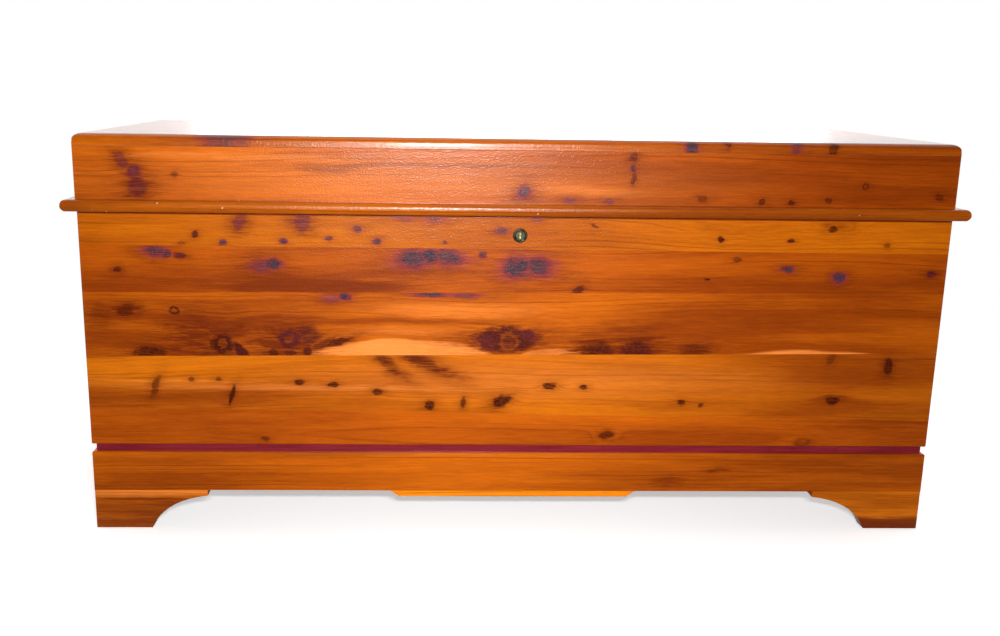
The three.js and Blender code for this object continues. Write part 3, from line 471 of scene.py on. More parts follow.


# In each board's shade patches, the wide ones at the two ends of a board, the lid's edge, the moulding
# and the base rail are painted shade, where the lamp's light falls off towards the ends; the narrow
# ones are dark streaks in the wood.
FRONT_BOARDS = {
    "front_board_1": Board(
        bright="c76703", deep="9e4802", pith_across=-70, pith_behind=60, spacing=5.5, wander=36, seed=1,
        knots=(
            Knot(-370, 431, 8, 12, -25, 0.6, 0.9, 0.55),
            Knot(-288, 431, 11, 12, -15, 0.6, 0.9, 0.6),
            Knot(-428, 414, 5, 4, 20, 0.9, 0.5, 0.2),
            Knot(-392, 403, 5, 4, 0, 0.9, 0.5, 0.9),
            Knot(-447, 402, 5, 3, 0, 0.4, 0.4, 0.3),
            Knot(-312, 406, 6, 4, 0, 1.0, 0.5, 0.9),
            Knot(-253, 409, 5, 3, 0, 0.8, 0.5, 0.9),
            Knot(-215, 424, 7, 5, 0, 0.8, 0.6, 1.0),
            Knot(-189, 408, 7, 5, 0, 0.95, 0.6, 0.9),
            Knot(-158, 439, 14, 7, -12, 0.3, 0.5, 0.9),
            Knot(-114, 438, 12, 9, 0, 0.4, 0.55, 1.0),
            Knot(-100, 406, 4, 3, 0, 0.8, 0.3, 0.8),
            Knot(-25, 422, 9, 5, -15, 0.7, 0.6, 0.9),
            Knot(20, 439, 8, 4, 0, 0.4, 0.5, 0.9),
            Knot(98, 431, 5, 2, -20, 0.6, 0.4),
            Knot(269, 413, 5, 4, 0, 0.95, 0.5, 0, 0, 9),
            Knot(365, 412, 5, 3, 0, 0.9, 0.5),
            Knot(420, 429, 6, 4, 0, 0.8, 0.5, 0, 0, 0),
            Knot(424, 430, 18, 9, 0, 0.0, 0.3, 0, 0, 16),
            Knot(300, 424, 46, 10, 0, 0.0, 0.2, 0, 0, 14),
            Knot(495, 408, 5, 3, 0, 0.5, 0.5),
        ),
        dark_streaks_and_painted_shade=(
            Patch(520, 420, 260, 60, 0.9, 0.35),
            Patch(-590, 425, 90, 60, 0.9, 0.4),
            Patch(-30, 420, 190, 40, 0.9, 0.35),
        ),
        # Painted shadow: a dark line just under the moulding's nose, where the moulding shades this
        # board.
        painted_shadow=(Patch(0, 441, 900, 1.4, 0.3, 3.5),),
    ),
    "front_board_2": Board(
        bright="b95603", deep="8a3702", pith_across=75, pith_behind=40, spacing=5, wander=42, seed=2,
        knots=(
            Knot(-481, 391, 15, 9, 0, 0.75, 0.8, 0.9),
            Knot(-466, 388, 7, 6, 0, 0.9, 0.5, 0.7),
            Knot(-449, 386, 9, 5, -10, 0.85, 0.6, 0.3),
            Knot(-341, 372, 17, 11, 0, 0.5, 0.9, 0.7),
            Knot(-326, 375, 12, 8, -10, 1.0, 0.6, 0.9),
            Knot(-532, 367, 5, 4, 0, 0.7, 0.7),
            Knot(-142, 384, 25, 15, 8, 0.9, 0.9, 0.95),
            Knot(-95, 386, 25, 13, -10, 0.85, 0.9, 0.95),
            Knot(-119, 387, 13, 12, 0, 1.0, 0.5, 0.9),
            Knot(-49, 389, 7, 5, 0, 0.95, 0.7, 0.7),
            Knot(-5, 374, 20, 18, 10, 0.9, 0.9, 0.95),
            Knot(26, 375, 21, 16, -10, 0.85, 0.9, 0.95),
            Knot(5, 378, 10, 8, 0, 1.0, 0.5, 0.8),
            Knot(8, 362, 12, 5, 0, 0.4, 0.7, 0.3),
            Knot(81, 344, 8, 6, 30, 0.75, 0.7),
            Knot(293, 387, 7, 3, 0, 0.6, 0.5),
            Knot(254, 359, 4, 2, 0, 0.8, 0.4),
            Knot(267, 338, 9, 3, 0, 0.6, 0.5),
            Knot(349, 336, 9, 3, 0, 0.6, 0.5),
            Knot(363, 374, 11, 5, 0, 0.9, 0.7, 0.8),
            Knot(433, 363, 9, 8, 0, 0.9, 0.9, 0.9),
            Knot(559, 368, 7, 5, 0, 0.95, 0.8, 0.3),
        ),
        dark_streaks_and_painted_shade=(
            Patch(480, 365, 260, 60, 0.9, 0.75),
            Patch(-440, 348, 250, 20, 0.9, 0.7),
            Patch(-268, 343, 125, 10, 0.5, 2.3),
        ),
    ),
    "front_board_3": Board(
        bright="cb6404", deep="923d02", pith_across=-80, pith_behind=50, spacing=5.5, wander=44, seed=3,
        knots=(
            Knot(-233, 332, 9, 6, 0, 1.2, 0.7, 0.9),
            Knot(-250, 330, 13, 6, 0, 0.2, 0.9, 0.8),
            Knot(-117, 336, 24, 5, 0, 0.85, 0.7, 0.9),
            Knot(-72, 336, 24, 5, 0, 0.5, 0.7, 0.9),
            Knot(-460, 310, 7, 6, 0, 0.9, 0.5, 0, 0.8),
            Knot(-524, 310, 12, 8, 0, 0.6, 1.2, 0, 0, 8),
            Knot(-558, 302, 14, 18, 0, 0.1, 0.7),
            Knot(-432, 270, 30, 26, 0, 0.0, 1.3, 0, 0, 8),
            Knot(-372, 282, 20, 16, -30, 0.0, 0.8, 0, 0, 6),
            Knot(-397, 266, 15, 14, 0, 1.4, 1.0, 0.0, 0.85, 12),
            Knot(-400, 251, 28, 5, 0, 0.6, 0.8),
            Knot(-374, 256, 16, 7, -48, 1.1, 0.9, 0.1),
            Knot(-318, 262, 28, 22, 0, 0.0, 1.3, 0, 0, 9),
            Knot(-283, 279, 16, 14, -25, 0.6, 0.9, 0.15),
            Knot(-307, 274, 14, 13, 0, 1.4, 1.0, 0.28, 0.85, 12),
            Knot(-329, 253, 7, 7, 0, 0.8, 0.7),
            Knot(-284, 256, 9, 8, 20, 0.9, 0.8),
            Knot(-306, 253, 8, 4, 0, 0.8, 0.6),
            Knot(-242, 270, 20, 5, 16, 0.85, 0.9),
            Knot(-262, 266, 16, 5, 30, 0.7, 0.7),
            Knot(-494, 253, 22, 11, 0, 0.8, 1.0),
            Knot(-14, 274, 47, 18, 0, 1.1, 0.8, 0.1, 0, 5),
            Knot(-42, 270, 11, 8, 0, 1.1, 0.4, 0.27),
            Knot(14, 281, 12, 8, -25, 1.1, 0.4, 0.27),
            Knot(-11, 271, 14, 14, 0, 0.0, 0.2, 0, 1.0, 8),
            Knot(-11, 271, 10, 10, 0, 0.75, 0.3, 0.15, 0, 0),
            Knot(110, 255, 25, 19, 0, 0.75, 1.3),
            Knot(163, 256, 26, 21, 0, 0.85, 1.3, 0.1),
            Knot(140, 292, 26, 7, 0, 0.0, 0.6),
            Knot(243, 260, 20, 11, 0, 0.4, 1.0),
        ),
        sapwood=(
            Patch(-158, 246, 128, 26),
            Patch(62, 246, 58, 16, 0.07, 0.75),
            Patch(395, 244, 150, 17, 0.12, 0.85),
            Patch(-80, 314, 95, 9, 0.8, 0.35),
            Patch(-150, 283, 70, 5, 0.8, 0.3),
        ),
        dark_streaks_and_painted_shade=(
            Patch(-140, 298, 150, 5, 0.8, 1.2),
            Patch(-330, 303, 60, 4, 0.8, 1.2),
            Patch(430, 300, 260, 70, 0.9, 1.0),
            Patch(-500, 290, 220, 46, 0.9, 0.9),
        ),
    ),
    "front_board_4": Board(
        bright="cb6a04", deep="964202", pith_across=85, pith_behind=40, spacing=6, wander=44, seed=4,
        knots=(
            Knot(-176, 241, 22, 8, -40, 0.4, 0.9, 0, 0, 0),
            Knot(-126, 241, 32, 8, -24, 0.4, 0.9, 0, 0, 0),
            Knot(-489, 206, 5, 15, -22, 0.6, 0.6, 0, 0, 0),
            Knot(-387, 194, 4, 15, -18, 1.0, 0.6, 0, 0, 0),
            Knot(-440, 216, 4, 3, 0, 0.6, 0.4),
            Knot(-405, 216, 5, 3, 0, 0.6, 0.4),
            Knot(-296, 212, 7, 4, 0, 0.9, 0.5),
            Knot(-250, 209, 8, 4, 0, 0.9, 0.5),
            Knot(-189, 200, 7, 5, 0, 0.8, 0.6),
            Knot(-117, 181, 7, 6, 0, 0.9, 0.6),
            Knot(-72, 186, 4, 9, -15, 0.7, 0.6),
            Knot(-20, 187, 13, 9, 25, 0.95, 0.7, 0, 0, 9),
            Knot(46, 209, 9, 5, 0, 0.9, 0.6, 0, 0, 9),
            Knot(94, 208, 6, 4, 0, 0.9, 0.5),
            Knot(229, 187, 6, 5, 0, 0.8, 0.5),
            Knot(257, 183, 4, 3, 0, 0.7, 0.4),
            Knot(433, 250, 5, 9, -15, 0.4, 0.5),
            Knot(514, 240, 6, 12, 0, 0.9, 0.9, 0, 0, 0),
            Knot(441, 190, 10, 6, 0, 0.95, 0.6, 0, 0, 14),
        ),
        sapwood=(
            Patch(-250, 205, 250, 4, 0.8, 0.4),
            Patch(30, 218, 250, 22, 0.9, 0.25),
            Patch(-465, 213, 105, 2, 0.8, 0.4),
        ),
        dark_streaks_and_painted_shade=(Patch(480, 210, 280, 60, 0.9, 0.9), Patch(-440, 178, 300, 20, 0.7, 0.9)),
    ),
    "front_board_5": Board(
        bright="c75f02", deep="943d01", pith_across=-12, pith_behind=14, spacing=6, wander=38, seed=5,
        knots=(
            Knot(-343, 132, 7, 4, 0, 0.6, 0.5),
            Knot(128, 139, 10, 6, 0, 0.7, 0.7, 0, 0, 10),
            Knot(403, 128, 12, 6, 0, 0.4, 0.5, 0, 0.8, 10),
        ),
        dark_streaks_and_painted_shade=(Patch(480, 150, 300, 60, 0.9, 0.85), Patch(-500, 150, 240, 60, 0.9, 0.6)),
    ),
    "front_lid_rail": Board(
        bright="cc6204", deep="963e02", pith_across=80, pith_behind=50, spacing=6, wander=44, seed=6,
        knots=(
            Knot(-519, 510, 7, 13, 32, 0.5, 0.9, 0.5),
            Knot(-504, 495, 10, 10, 0, 0.9, 0.9, 0.6),
            Knot(-500, 476, 13, 14, 15, 0.7, 1.0, 0.4),
            Knot(-452, 492, 5, 5, 0, 0.4, 0.4),
            Knot(4, 474, 9, 10, 20, 0.8, 0.9, 0.9),
            Knot(147, 521, 5, 7, 0, 0.5, 0.9),
            Knot(147, 507, 4, 6, 0, 0.9, 0.6, 0.7),
            Knot(148, 494, 3, 9, 0, 0.6, 0.6),
            Knot(65, 464, 9, 4, 0, 0.5, 0.5, 0.9),
            Knot(116, 463, 9, 4, 0, 0.5, 0.5, 0.9),
            Knot(240, 468, 7, 4, 0, 0.5, 0.5),
            Knot(320, 464, 5, 4, 0, 0.7, 0.5),
            Knot(360, 465, 5, 4, 0, 0.7, 0.5),
            Knot(409, 469, 5, 4, 0, 0.7, 0.5),
            Knot(456, 487, 5, 6, 0, 0.7, 0.5, 0, 0.8),
            Knot(559, 474, 7, 5, 0, 0.5, 0.5),
        ),
        sapwood=(
            Patch(-370, 516, 150, 5, 0.7, 0.4),
            Patch(90, 476, 70, 9, 0.8, 0.4),
            Patch(-160, 484, 330, 34, 0.9, 0.26),
        ),
        dark_streaks_and_painted_shade=(
            Patch(430, 490, 340, 80, 0.9, 1.7),
            Patch(-560, 490, 110, 80, 0.9, 0.6),
            Patch(-262, 501, 40, 3.5, 0.6, 2.0),
            Patch(-70, 506, 175, 2.2, 0.8, 2.2),
        ),
    ),
    "lid_top_board_1": Board(
        bright="cc6604", deep="9a4402", pith_across=-90, pith_behind=60, seed=8,
        knots=(
            Knot(-385, -212, 38, 10, 0, 0.7, 0.5, 0.8),
            Knot(222, -216, 9, 8, 0, 0.9, 0.5, 0.9),
            Knot(362, -211, 11, 7, 0, 0.95, 0.5, 0.9),
            Knot(270, -214, 4, 4, 0, 0.7, 0.5),
            Knot(410, -216, 6, 6, 0, 0.7, 0.5),
            Knot(-210, -130, 16, 11, 8, 0.9, 0.6, 0.6),
            Knot(90, -165, 10, 7, 0, 0.9, 0.6, 0.2),
            Knot(470, -110, 14, 10, 0, 0.95, 0.6, 0.1, 0.8, 10),
        ),
        dark_streaks_and_painted_shade=(Patch(430, -200, 380, 120, 0.9, 1.6),),
    ),
    "front_base_rail": Board(
        bright="c66003", deep="954001", pith_across=70, pith_behind=50, wander=24, seed=7,
        knots=(Knot(288, 88, 14, 3, 0, 0.2, 0.9), Knot(216, 70, 10, 6, 0, 0.1, 0.7)),
        dark_streaks_and_painted_shade=(Patch(470, 84, 300, 60, 0.9, 0.8), Patch(-520, 84, 180, 60, 0.9, 0.55)),
    ),
    "front_moulding": Board(
        bright="ba5d05", deep="8e4003", wander=10, seed=9,
        dark_streaks_and_painted_shade=(Patch(450, 451, 360, 30, 0.9, 0.9), Patch(-480, 451, 260, 30, 0.9, 0.6)),
    ),
    "front_centre_drop": Board(bright="f48a0a", deep="d06a04", seed=70),
    # Both feet are darker towards the bottom, and the left one paler along its top.
    "front_left_foot_face": Board(
        bright="e07406", deep="863803", pith_across=-60, pith_behind=30, seed=71,
        sapwood=(Patch(-545, 53, 200, 6, 0.5, 0.45),),
        dark_streaks_and_painted_shade=(Patch(-500, 12, 200, 34, 0.3, 1.0), Patch(-510, 43, 60, 3, 0.9, 1.2)),
    ),
    "front_right_foot_face": Board(
        bright="dc7406", deep="8a3a03", pith_across=-60, pith_behind=30, seed=72,
        knots=(Knot(548, 8, 8, 5, 0, 0.0, 0.4),),
        dark_streaks_and_painted_shade=(Patch(500, 3, 190, 15, 0.3, 2.0),),
    ),
}

# Turns of the chest's axes into a board's own: along the grain, across it, out of its face.
BOARD_TURNS = {
    "front": Euler((-math.pi / 2, 0, 0)),
    "end": Euler((-math.pi / 2, -math.pi / 2, 0)),
    "flat": Euler((0, 0, 0)),
}
KNOT_AREA = 16000  # of plain board to each knot, in square millimetres
BIG_KNOT = 9  # in millimetres, above which a knot may be open
KNOT_WOBBLE = tuple(Vector((9, 7, 0)) * MM)
EDGE_DRIFT = tuple(Vector((50, 16, 0)) * MM)
CASE_TONE = ("dc7006", "a84c03")
BASE_TONE = ("d86a05", "a04602")
MOULDING_TONE = ("cc6606", "a04804")
# A board's number seeds its knots and figure, and each group of boards counts from its own.
FIRST_NUMBER = {"case": 0, "base": 60, "blocks": 90, "lid": 120, "mouldings": 140}


def turn_of(node):
    """Which way a board lies: its run is along X, or along Y on the ends and sides."""
    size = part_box(node)[1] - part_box(node)[0]
    if node.startswith(("lid_top", "bottom")):
        return "flat"
    return "end" if size.y > size.x else "front"


def face_box(node):
    """Lowest and highest corner of a board in its own axes, in millimetres."""
    turn = BOARD_TURNS[turn_of(node)].to_matrix()
    corners = [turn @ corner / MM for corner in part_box(node)]
    return Vector(map(min, *corners)), Vector(map(max, *corners))


def grown_board(node, number, bright, deep, knotty=1.0):
    """A board with knots of its own, the same at every run."""
    chance = random.Random(number)
    low, high = face_box(node)
    count = round((high.x - low.x) * (high.y - low.y) / KNOT_AREA * knotty)
    knots = []
    for _ in range(count):
        size = chance.choice((3.5, 4.5, 5.5, 7, 10, 13))
        big = size > BIG_KNOT
        knots.append(
            Knot(
                chance.uniform(low.x, high.x),
                chance.uniform(low.y, high.y),
                size * chance.uniform(1.0, 1.4),
                size * chance.uniform(0.6, 1.0),
                chance.uniform(-25, 25),
                chance.uniform(0.6, 0.95),
                chance.uniform(0.4, 0.7),
                chance.choice((0, 0, 0.6, 0.9)),
                chance.choice((0, 0.8)) if big else 0,
                size * (1.1 if big else 0.8),
            )
        )
    return Board(
        bright=bright,
        deep=deep,
        pith_across=chance.choice((-1, 1)) * chance.uniform(30, 90),
        pith_behind=chance.uniform(30, 70),
        spacing=chance.uniform(4.5, 6),
        wander=chance.uniform(34, 48),
        seed=10 + number,
        knots=tuple(knots),
    )


def board_of(node, number, tone=CASE_TONE, knotty=1.0):
    """A board as the front's table has it, or else one that grows its own knots."""
    return FRONT_BOARDS.get(node) or grown_board(node, number, *tone, knotty)


def oval_inputs(oval, place):
    """Where a knot or a patch lies, and the place that it is read at."""
    return {
        "Vector": place,
        "Centre": (oval.run * MM, oval.rise * MM, 0),
        "Half Size": (oval.half_run * MM, oval.half_rise * MM, 1),
    }


def add_knots(tree, knots, laid):
    """The masks of all knots of a board, one after the other."""
    wobble = centred_noise(tree, laid, scale=60.0, detail=1.0)
    wandering = vector_calc(tree, "ADD", laid, scaled(tree, wobble, KNOT_WOBBLE))
    fray = centred_noise(tree, laid, stretch=(90.0, 420.0, 420.0), detail=2.0, roughness=0.6)
    masks = {name: 0.0 for name in KNOT_MASKS}
    for knot in knots:
        inputs = {
            **oval_inputs(knot, wandering),
            "Fray": fray,
            "Turn": (0, 0, math.radians(knot.turn)),
            "Core Depth": knot.core,
            "Halo Depth": knot.halo,
            "Purple Share": knot.purple,
            "Openness": knot.openness,
            "Bend Height": knot.bend * MM,
            **masks,
        }
        made = use_group(tree, "Cedar Knot", inputs)
        masks = {name: made[name] for name in KNOT_MASKS}
    return masks


def add_patches(tree, patches, place, mask=0.0):
    """A mask with all patches of a kind laid over it."""
    for patch in patches:
        inputs = {"Edge": patch.edge, "Depth": patch.depth, "Mask": mask}
        mask = use_group(tree, "Cedar Patch", {**oval_inputs(patch, place), **inputs})["Mask"]
    return mask


def wood_masks(tree, board, node):
    """Masks of a board's figure, knots and patches, and the place that they are read at."""
    rotation = BOARD_TURNS[turn_of(node)]
    place = put(tree, "TexCoord").outputs["Object"]
    laid = put(tree, "Mapping", {"Vector": place, "Rotation": rotation}).outputs["Vector"]
    masks = add_knots(tree, board.knots, laid)
    drift = centred_noise(tree, laid, scale=9.0, detail=2.0)
    drifted = vector_calc(tree, "ADD", laid, scaled(tree, drift, EDGE_DRIFT))
    masks["Sapwood"] = add_patches(tree, board.sapwood, drifted)
    # Shade patches drift at their edges, both the dark streaks and the painted shade; the painted
    # shadow under the moulding is laid straight on top of them in the same mask.
    dark_streaks_and_painted_shade = add_patches(tree, board.dark_streaks_and_painted_shade, drifted)
    masks["Shade"] = add_patches(tree, board.painted_shadow, laid, dark_streaks_and_painted_shade)
    mottle = noise(tree, laid, stretch=(190.0, 480.0, 480.0), detail=3.0, roughness=0.65)
    masks["Mottle"] = ramp(tree, mottle, 0.36, 0.64)
    low, high = face_box(node)
    pith = (0, (low.y + high.y) / 2 + board.pith_across, high.z - board.pith_behind)
    inputs = {
        "Vector": laid,
        "Bend": masks.pop("Bend"),
        "Pith": tuple(Vector(pith) * MM),
        "Ring Spacing": board.spacing * MM,
        "Wander": board.wander * MM,
        "Seed": board.seed,
    }
    figure = use_group(tree, "Cedar Figure", inputs)
    masks.update({name: figure[name] for name in FIGURE_MASKS})
    return masks, laid


# Materials

BARE_COLOURS = {
    "Bright": "c98c5e",
    "Deep": "a9683f",
    "Ring": "7c3f22",
    "Sapwood Colour": "dcb98a",
    "Halo Colour": "7d4224",
    "Heart": "54230f",
    "Purple Rim": "7a4640",
    "Purple Heart": "4c3a38",
    "Purple Speck": "7c6a62",
}
BARE_RELIEF = 0.06 * MM
BARE_GLOSS = 0.3
MAROON_ROUGHNESS = 0.35
METAL_RELIEF = 0.02 * MM


def new_material(name):
    """An empty material, its tree and its shader."""
    material = bpy.data.materials.new(name)
    material.use_nodes = True
    tree = material.node_tree
    return material, tree, tree.nodes["Principled BSDF"]


def raise_relief(tree, shader, height, distance):
    """Gives a surface its relief: a height, and how far one unit of it reaches."""
    bump = put(tree, "Bump", {"Height": height, "Strength": 1.0, "Distance": distance})
    feed(tree, shader.inputs["Normal"], bump.outputs["Normal"])


def lay_lacquer(tree, shader, height, roughness, finish):
    """Lays a clear coat with its relief over a colour of a given roughness."""
    raise_relief(tree, shader, height, finish.peel)
    shader.inputs["Roughness"].default_value = roughness
    shader.inputs["Specular IOR Level"].default_value = finish.wood_gloss
    shader.inputs["Coat Weight"].default_value = 1.0
    shader.inputs["Coat Roughness"].default_value = finish.coat_roughness
    shader.inputs["Coat IOR"].default_value = finish.coat_ior


def lacquered_cedar(name, board, node, finish, nicks=0.0):
    """Cedar under glossy amber lacquer."""
    material, tree, shader = new_material(name)
    masks, laid = wood_masks(tree, board, node)
    colours = {
        "Bright": paint(board.bright),
        "Deep": paint(board.deep),
        "Ring": paint(board.ring),
        "Sapwood Colour": finish.sapwood,
        "Halo Colour": finish.halo,
        "Heart": finish.heart,
        "Purple Rim": finish.purple_rim,
        "Purple Heart": finish.purple_heart,
        "Purple Speck": finish.purple_speck,
    }
    wood = use_group(tree, "Cedar Colour", {**masks, **colours})["Color"]
    coat = use_group(tree, "Lacquer", {"Vector": laid, "Line": masks["Line"], "Nicks": nicks})
    wood = blend(tree, times(tree, coat["Fleck"], 0.7), wood, finish.fleck)
    feed(tree, shader.inputs["Base Color"], wood)
    lay_lacquer(tree, shader, coat["Height"], finish.wood_roughness, finish)
    return material


def bare_cedar(name, board, node):
    """Cedar left bare, as inside the chest."""
    material, tree, shader = new_material(name)
    masks, _ = wood_masks(tree, board, node)
    colours = {label: paint(code) for label, code in BARE_COLOURS.items()}
    wood = use_group(tree, "Cedar Colour", {**masks, **colours})["Color"]
    feed(tree, shader.inputs["Base Color"], wood)
    height = weighed(tree, (masks["Fibre"], 0.6), (masks["Line"], 0.4))
    raise_relief(tree, shader, height, BARE_RELIEF)
    feed(tree, shader.inputs["Roughness"], weighed(tree, (masks["Streak"], 0.12), start=0.58))
    shader.inputs["Specular IOR Level"].default_value = BARE_GLOSS
    return material


def maroon_lacquer(name, finish):
    """The accent strips: opaque maroon lacquer over close grain."""
    material, tree, shader = new_material(name)
    place = put(tree, "TexCoord").outputs["Object"]
    streak = noise(tree, place, stretch=(14.0, 14.0, 500.0), detail=3.0)
    worn = ramp(tree, noise(tree, place, stretch=(60.0, 60.0, 60.0), detail=3.0), 0.62, 0.78)
    colour = blend(tree, ramp(tree, streak, 0.3, 0.7), paint("6e1220"), paint("84202c"))
    colour = blend(tree, times(tree, worn, 0.5), colour, paint("5a1210"))
    feed(tree, shader.inputs["Base Color"], colour)
    coat = use_group(tree, "Lacquer", {"Vector": place, "Line": streak, "Nicks": 0.4})
    lay_lacquer(tree, shader, coat["Height"], MAROON_ROUGHNESS, finish)
    return material


def old_metal(name, clean, tarnished, brush, tarnish):
    """Worn metal, brushed across a direction given as a scale for each axis."""
    material, tree, shader = new_material(name)
    place = put(tree, "TexCoord").outputs["Object"]
    wear = use_group(tree, "Old Metal", {"Vector": place, "Brush": brush, "Tarnish": tarnish})
    colour = blend(tree, wear["Tarnish"], paint(clean), paint(tarnished))
    feed(tree, shader.inputs["Base Color"], colour)
    feed(tree, shader.inputs["Roughness"], wear["Roughness"])
    raise_relief(tree, shader, wear["Height"], METAL_RELIEF)
    shader.inputs["Metallic"].default_value = 1.0
    return material


# Working by hand

SHARP = math.radians(20)  # an edge that turns more than this can be eased
SMOOTH = math.radians(28)  # and one that turns less than this is shaded smooth
FLAT = math.radians(0.5)
MERGE = 0.01 * MM
FACING = 0.5  # how much of a face's normal lies along the way that it looks


def leave_all():
    bpy.ops.object.select_all(action="DESELECT")


def pick(*pieces):
    """Makes these objects the only ones selected, and the first one active."""
    leave_all()
    for piece in pieces:
        piece.select_set(True)
    bpy.context.view_layer.objects.active = pieces[0]


def edit(*operations):
    """Runs steps in edit mode on the active object."""
    bpy.ops.object.mode_set(mode="EDIT")
    for operation in operations:
        operation()
    bpy.ops.object.mode_set(mode="OBJECT")


def start_selection(kind):
    """In edit mode, selects nothing yet, and gives the mesh to select in."""
    bpy.ops.mesh.select_mode(type=kind)
    bpy.ops.mesh.select_all(action="DESELECT")
    return bmesh.from_edit_mesh(bpy.context.edit_object.data)


def select_edges(test):
    """In edit mode, selects only the sharp edges whose two ends pass a test."""
    for edge in start_selection("EDGE").edges:
        sharp = len(edge.link_faces) == 2 and edge.calc_face_angle(0) > SHARP
        edge.select_set(sharp and test(edge.verts[0].co, edge.verts[1].co))
    bmesh.update_edit_mesh(bpy.context.edit_object.data)


def select_faces(test):
    """In edit mode, selects only the faces whose normal passes a test."""
    for face in start_selection("FACE").faces:
        face.select_set(test(face.normal))
    bmesh.update_edit_mesh(bpy.context.edit_object.data)


def add_solid(name, add, scale=(1, 1, 1), **settings):
    """Adds one of Blender's own solids, with its place, turn and scale applied."""
    leave_all()
    add(**settings)
    solid = bpy.context.active_object
    solid.name = name
    solid.scale = scale
    bpy.ops.object.transform_apply(location=True, rotation=True, scale=True)
    return solid


def cut_away(piece, tool):
    """Cuts one object out of another and deletes the tool."""
    pick(piece)
    cutter = piece.modifiers.new("Cut", "BOOLEAN")
    cutter.operation = "DIFFERENCE"
    cutter.solver = "EXACT"
    cutter.object = tool
    bpy.ops.object.modifier_apply(modifier=cutter.name)
    bpy.data.objects.remove(tool, do_unlink=True)


def worked_copy(node, *materials):
    """A merged copy of a CAD piece in its materials, with flat faces in one."""
    piece = bpy.data.objects.new(f"{node}_finished", frame["nodes"][node].data.copy())
    bpy.context.collection.objects.link(piece)
    piece.data.materials.clear()
    for material in materials:
        piece.data.materials.append(material)
    pick(piece)
    edit(
        lambda: bpy.ops.mesh.select_all(action="SELECT"),
        lambda: bpy.ops.mesh.remove_doubles(threshold=MERGE),
        lambda: bpy.ops.mesh.dissolve_limited(angle_limit=FLAT),
    )
    return piece


def ease(piece, width, test=lambda a, b: True, segments=3):
    """Rounds over the sharp edges that pass a test, or else all of them."""
    round_over = {"offset": width, "segments": segments, "affect": "EDGES", "clamp_overlap": True}
    pick(piece)
    edit(lambda: select_edges(test), lambda: bpy.ops.mesh.bevel(**round_over))


def slot_of(node):
    return frame["nodes"][node].data.materials[0].name


def finish_piece(piece, node, stands_in=True):
    """Smooths a piece, gives it a node's body, and lets it stand in for the node."""
    pick(piece)
    bpy.ops.object.shade_smooth_by_angle(angle=SMOOTH)
    flat = piece.modifiers.new("Flat faces", "WEIGHTED_NORMAL")
    flat.keep_sharp = True
    bpy.ops.object.modifier_apply(modifier=flat.name)
    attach(piece, body_of(frame["nodes"][node])[0])
    if stands_in:
        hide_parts(node)


# Settings


def colour_setting(name, description, code):
    return FloatVectorProperty(
        name=name, description=description, subtype="COLOR", size=3, min=0, max=1, default=paint(code)
    )


def share_setting(name, description, share):
    return FloatProperty(
        name=name, description=description, subtype="FACTOR", min=0, max=1, default=share
    )


def length_setting(name, description, millimetres):
    return FloatProperty(
        name=name,
        description=description,
        subtype="DISTANCE",
        unit="LENGTH",
        precision=5,
        default=millimetres * MM,
    )


def power_setting(name, description, watts):
    return FloatProperty(name=name, description=description, unit="POWER", default=watts)


class ChestFinish(bpy.types.PropertyGroup):
    """Colours and gloss of the chest."""

    halo: colour_setting("Halo", "Wood that trails off from a knot", "6e2602")
    heart: colour_setting("Heart", "Heart of a knot", "3a0c04")
    purple_rim: colour_setting("Purple rim", "Rim of a purple knot", "88303c")
    purple_heart: colour_setting("Purple heart", "Middle of a purple knot", "1c1e28")
    purple_speck: colour_setting("Purple speck", "Pale rings in a purple knot", "848290")
    sapwood: colour_setting("Sapwood", "Pale wood along the wane", "f08a3c")
    fleck: colour_setting("Fleck", "Dust and nicks in the lacquer", "f2c8a0")
    wood_roughness: share_setting("Wood roughness", "Roughness of the wood under the lacquer", 0.27)
    wood_gloss: share_setting("Wood gloss", "Specular level of the wood under the lacquer", 0.22)
    coat_roughness: share_setting("Lacquer roughness", "Roughness of the lacquer", 0.14)
    coat_ior: FloatProperty(name="Lacquer IOR", description="Refraction of the lacquer", default=1.1)
    peel: length_setting("Peel", "Relief of the lacquer", 0.3)
    ease: length_setting("Arris", "Round of the arrises", 0.9)


class ChestScrews(bpy.types.PropertyGroup):
    """Sizes of the slotted screws."""

    hinge_head: length_setting("Hinge screw", "Radius of a hinge screw's head", 3.4)
    plate_head: length_setting("Plate screw", "Radius of a plate screw's head", 2.7)
    depth: length_setting("Countersink", "Depth of the countersink", 1.5)
    slot_width: length_setting("Slot", "Width of the slot", 0.8)
    sides: IntProperty(name="Sides", description="Sides of a screw's head", min=8, default=28)


class ChestStage(bpy.types.PropertyGroup):
    """Camera and light."""

    focal: FloatProperty(
        name="Focal length", description="Of the camera's lens", unit="CAMERA", default=37.94
    )
    key_power: power_setting("Key power", "Small lamp over the camera", 13.0)
    top_power: power_setting("Top power", "Wide lamp overhead", 12.0)
    end_power: power_setting("End power", "Each wide lamp beside the chest", 26.0)
    back_power: power_setting("Back power", "Wide lamp behind the chest", 34.0)
    fill: share_setting("Fill", "Strength of the room's light", 0.12)
    room_front: share_setting("Room in front", "What gloss sees on the camera's side", 0.03)


# Stage

CAMERA_PLACE = Vector((-129.5, -1600.4, 617.6)) * MM
CAMERA_YAW, CAMERA_PITCH, CAMERA_ROLL = (math.radians(angle) for angle in (1.95, 12.77, 0.88))
CAMERA_SHIFT_SHARE = 0.0432
CAMERA_SENSOR = 36  # wide, in millimetres, as the lens is measured
FLOOR_WIDTH = 14
FLOOR_DROP = 0.3 * MM
FLOOR_FADE = (0.45, 1.3)  # metres from the chest between which the floor turns white
MIRROR_FADE = (1.6, 3.0)  # and between which its mirror image does
IN_FRONT = (FRONT + 0.05, FRONT - 0.1)  # from here to here the chest's gloss loses the floor
WHITE = (1, 1, 1)


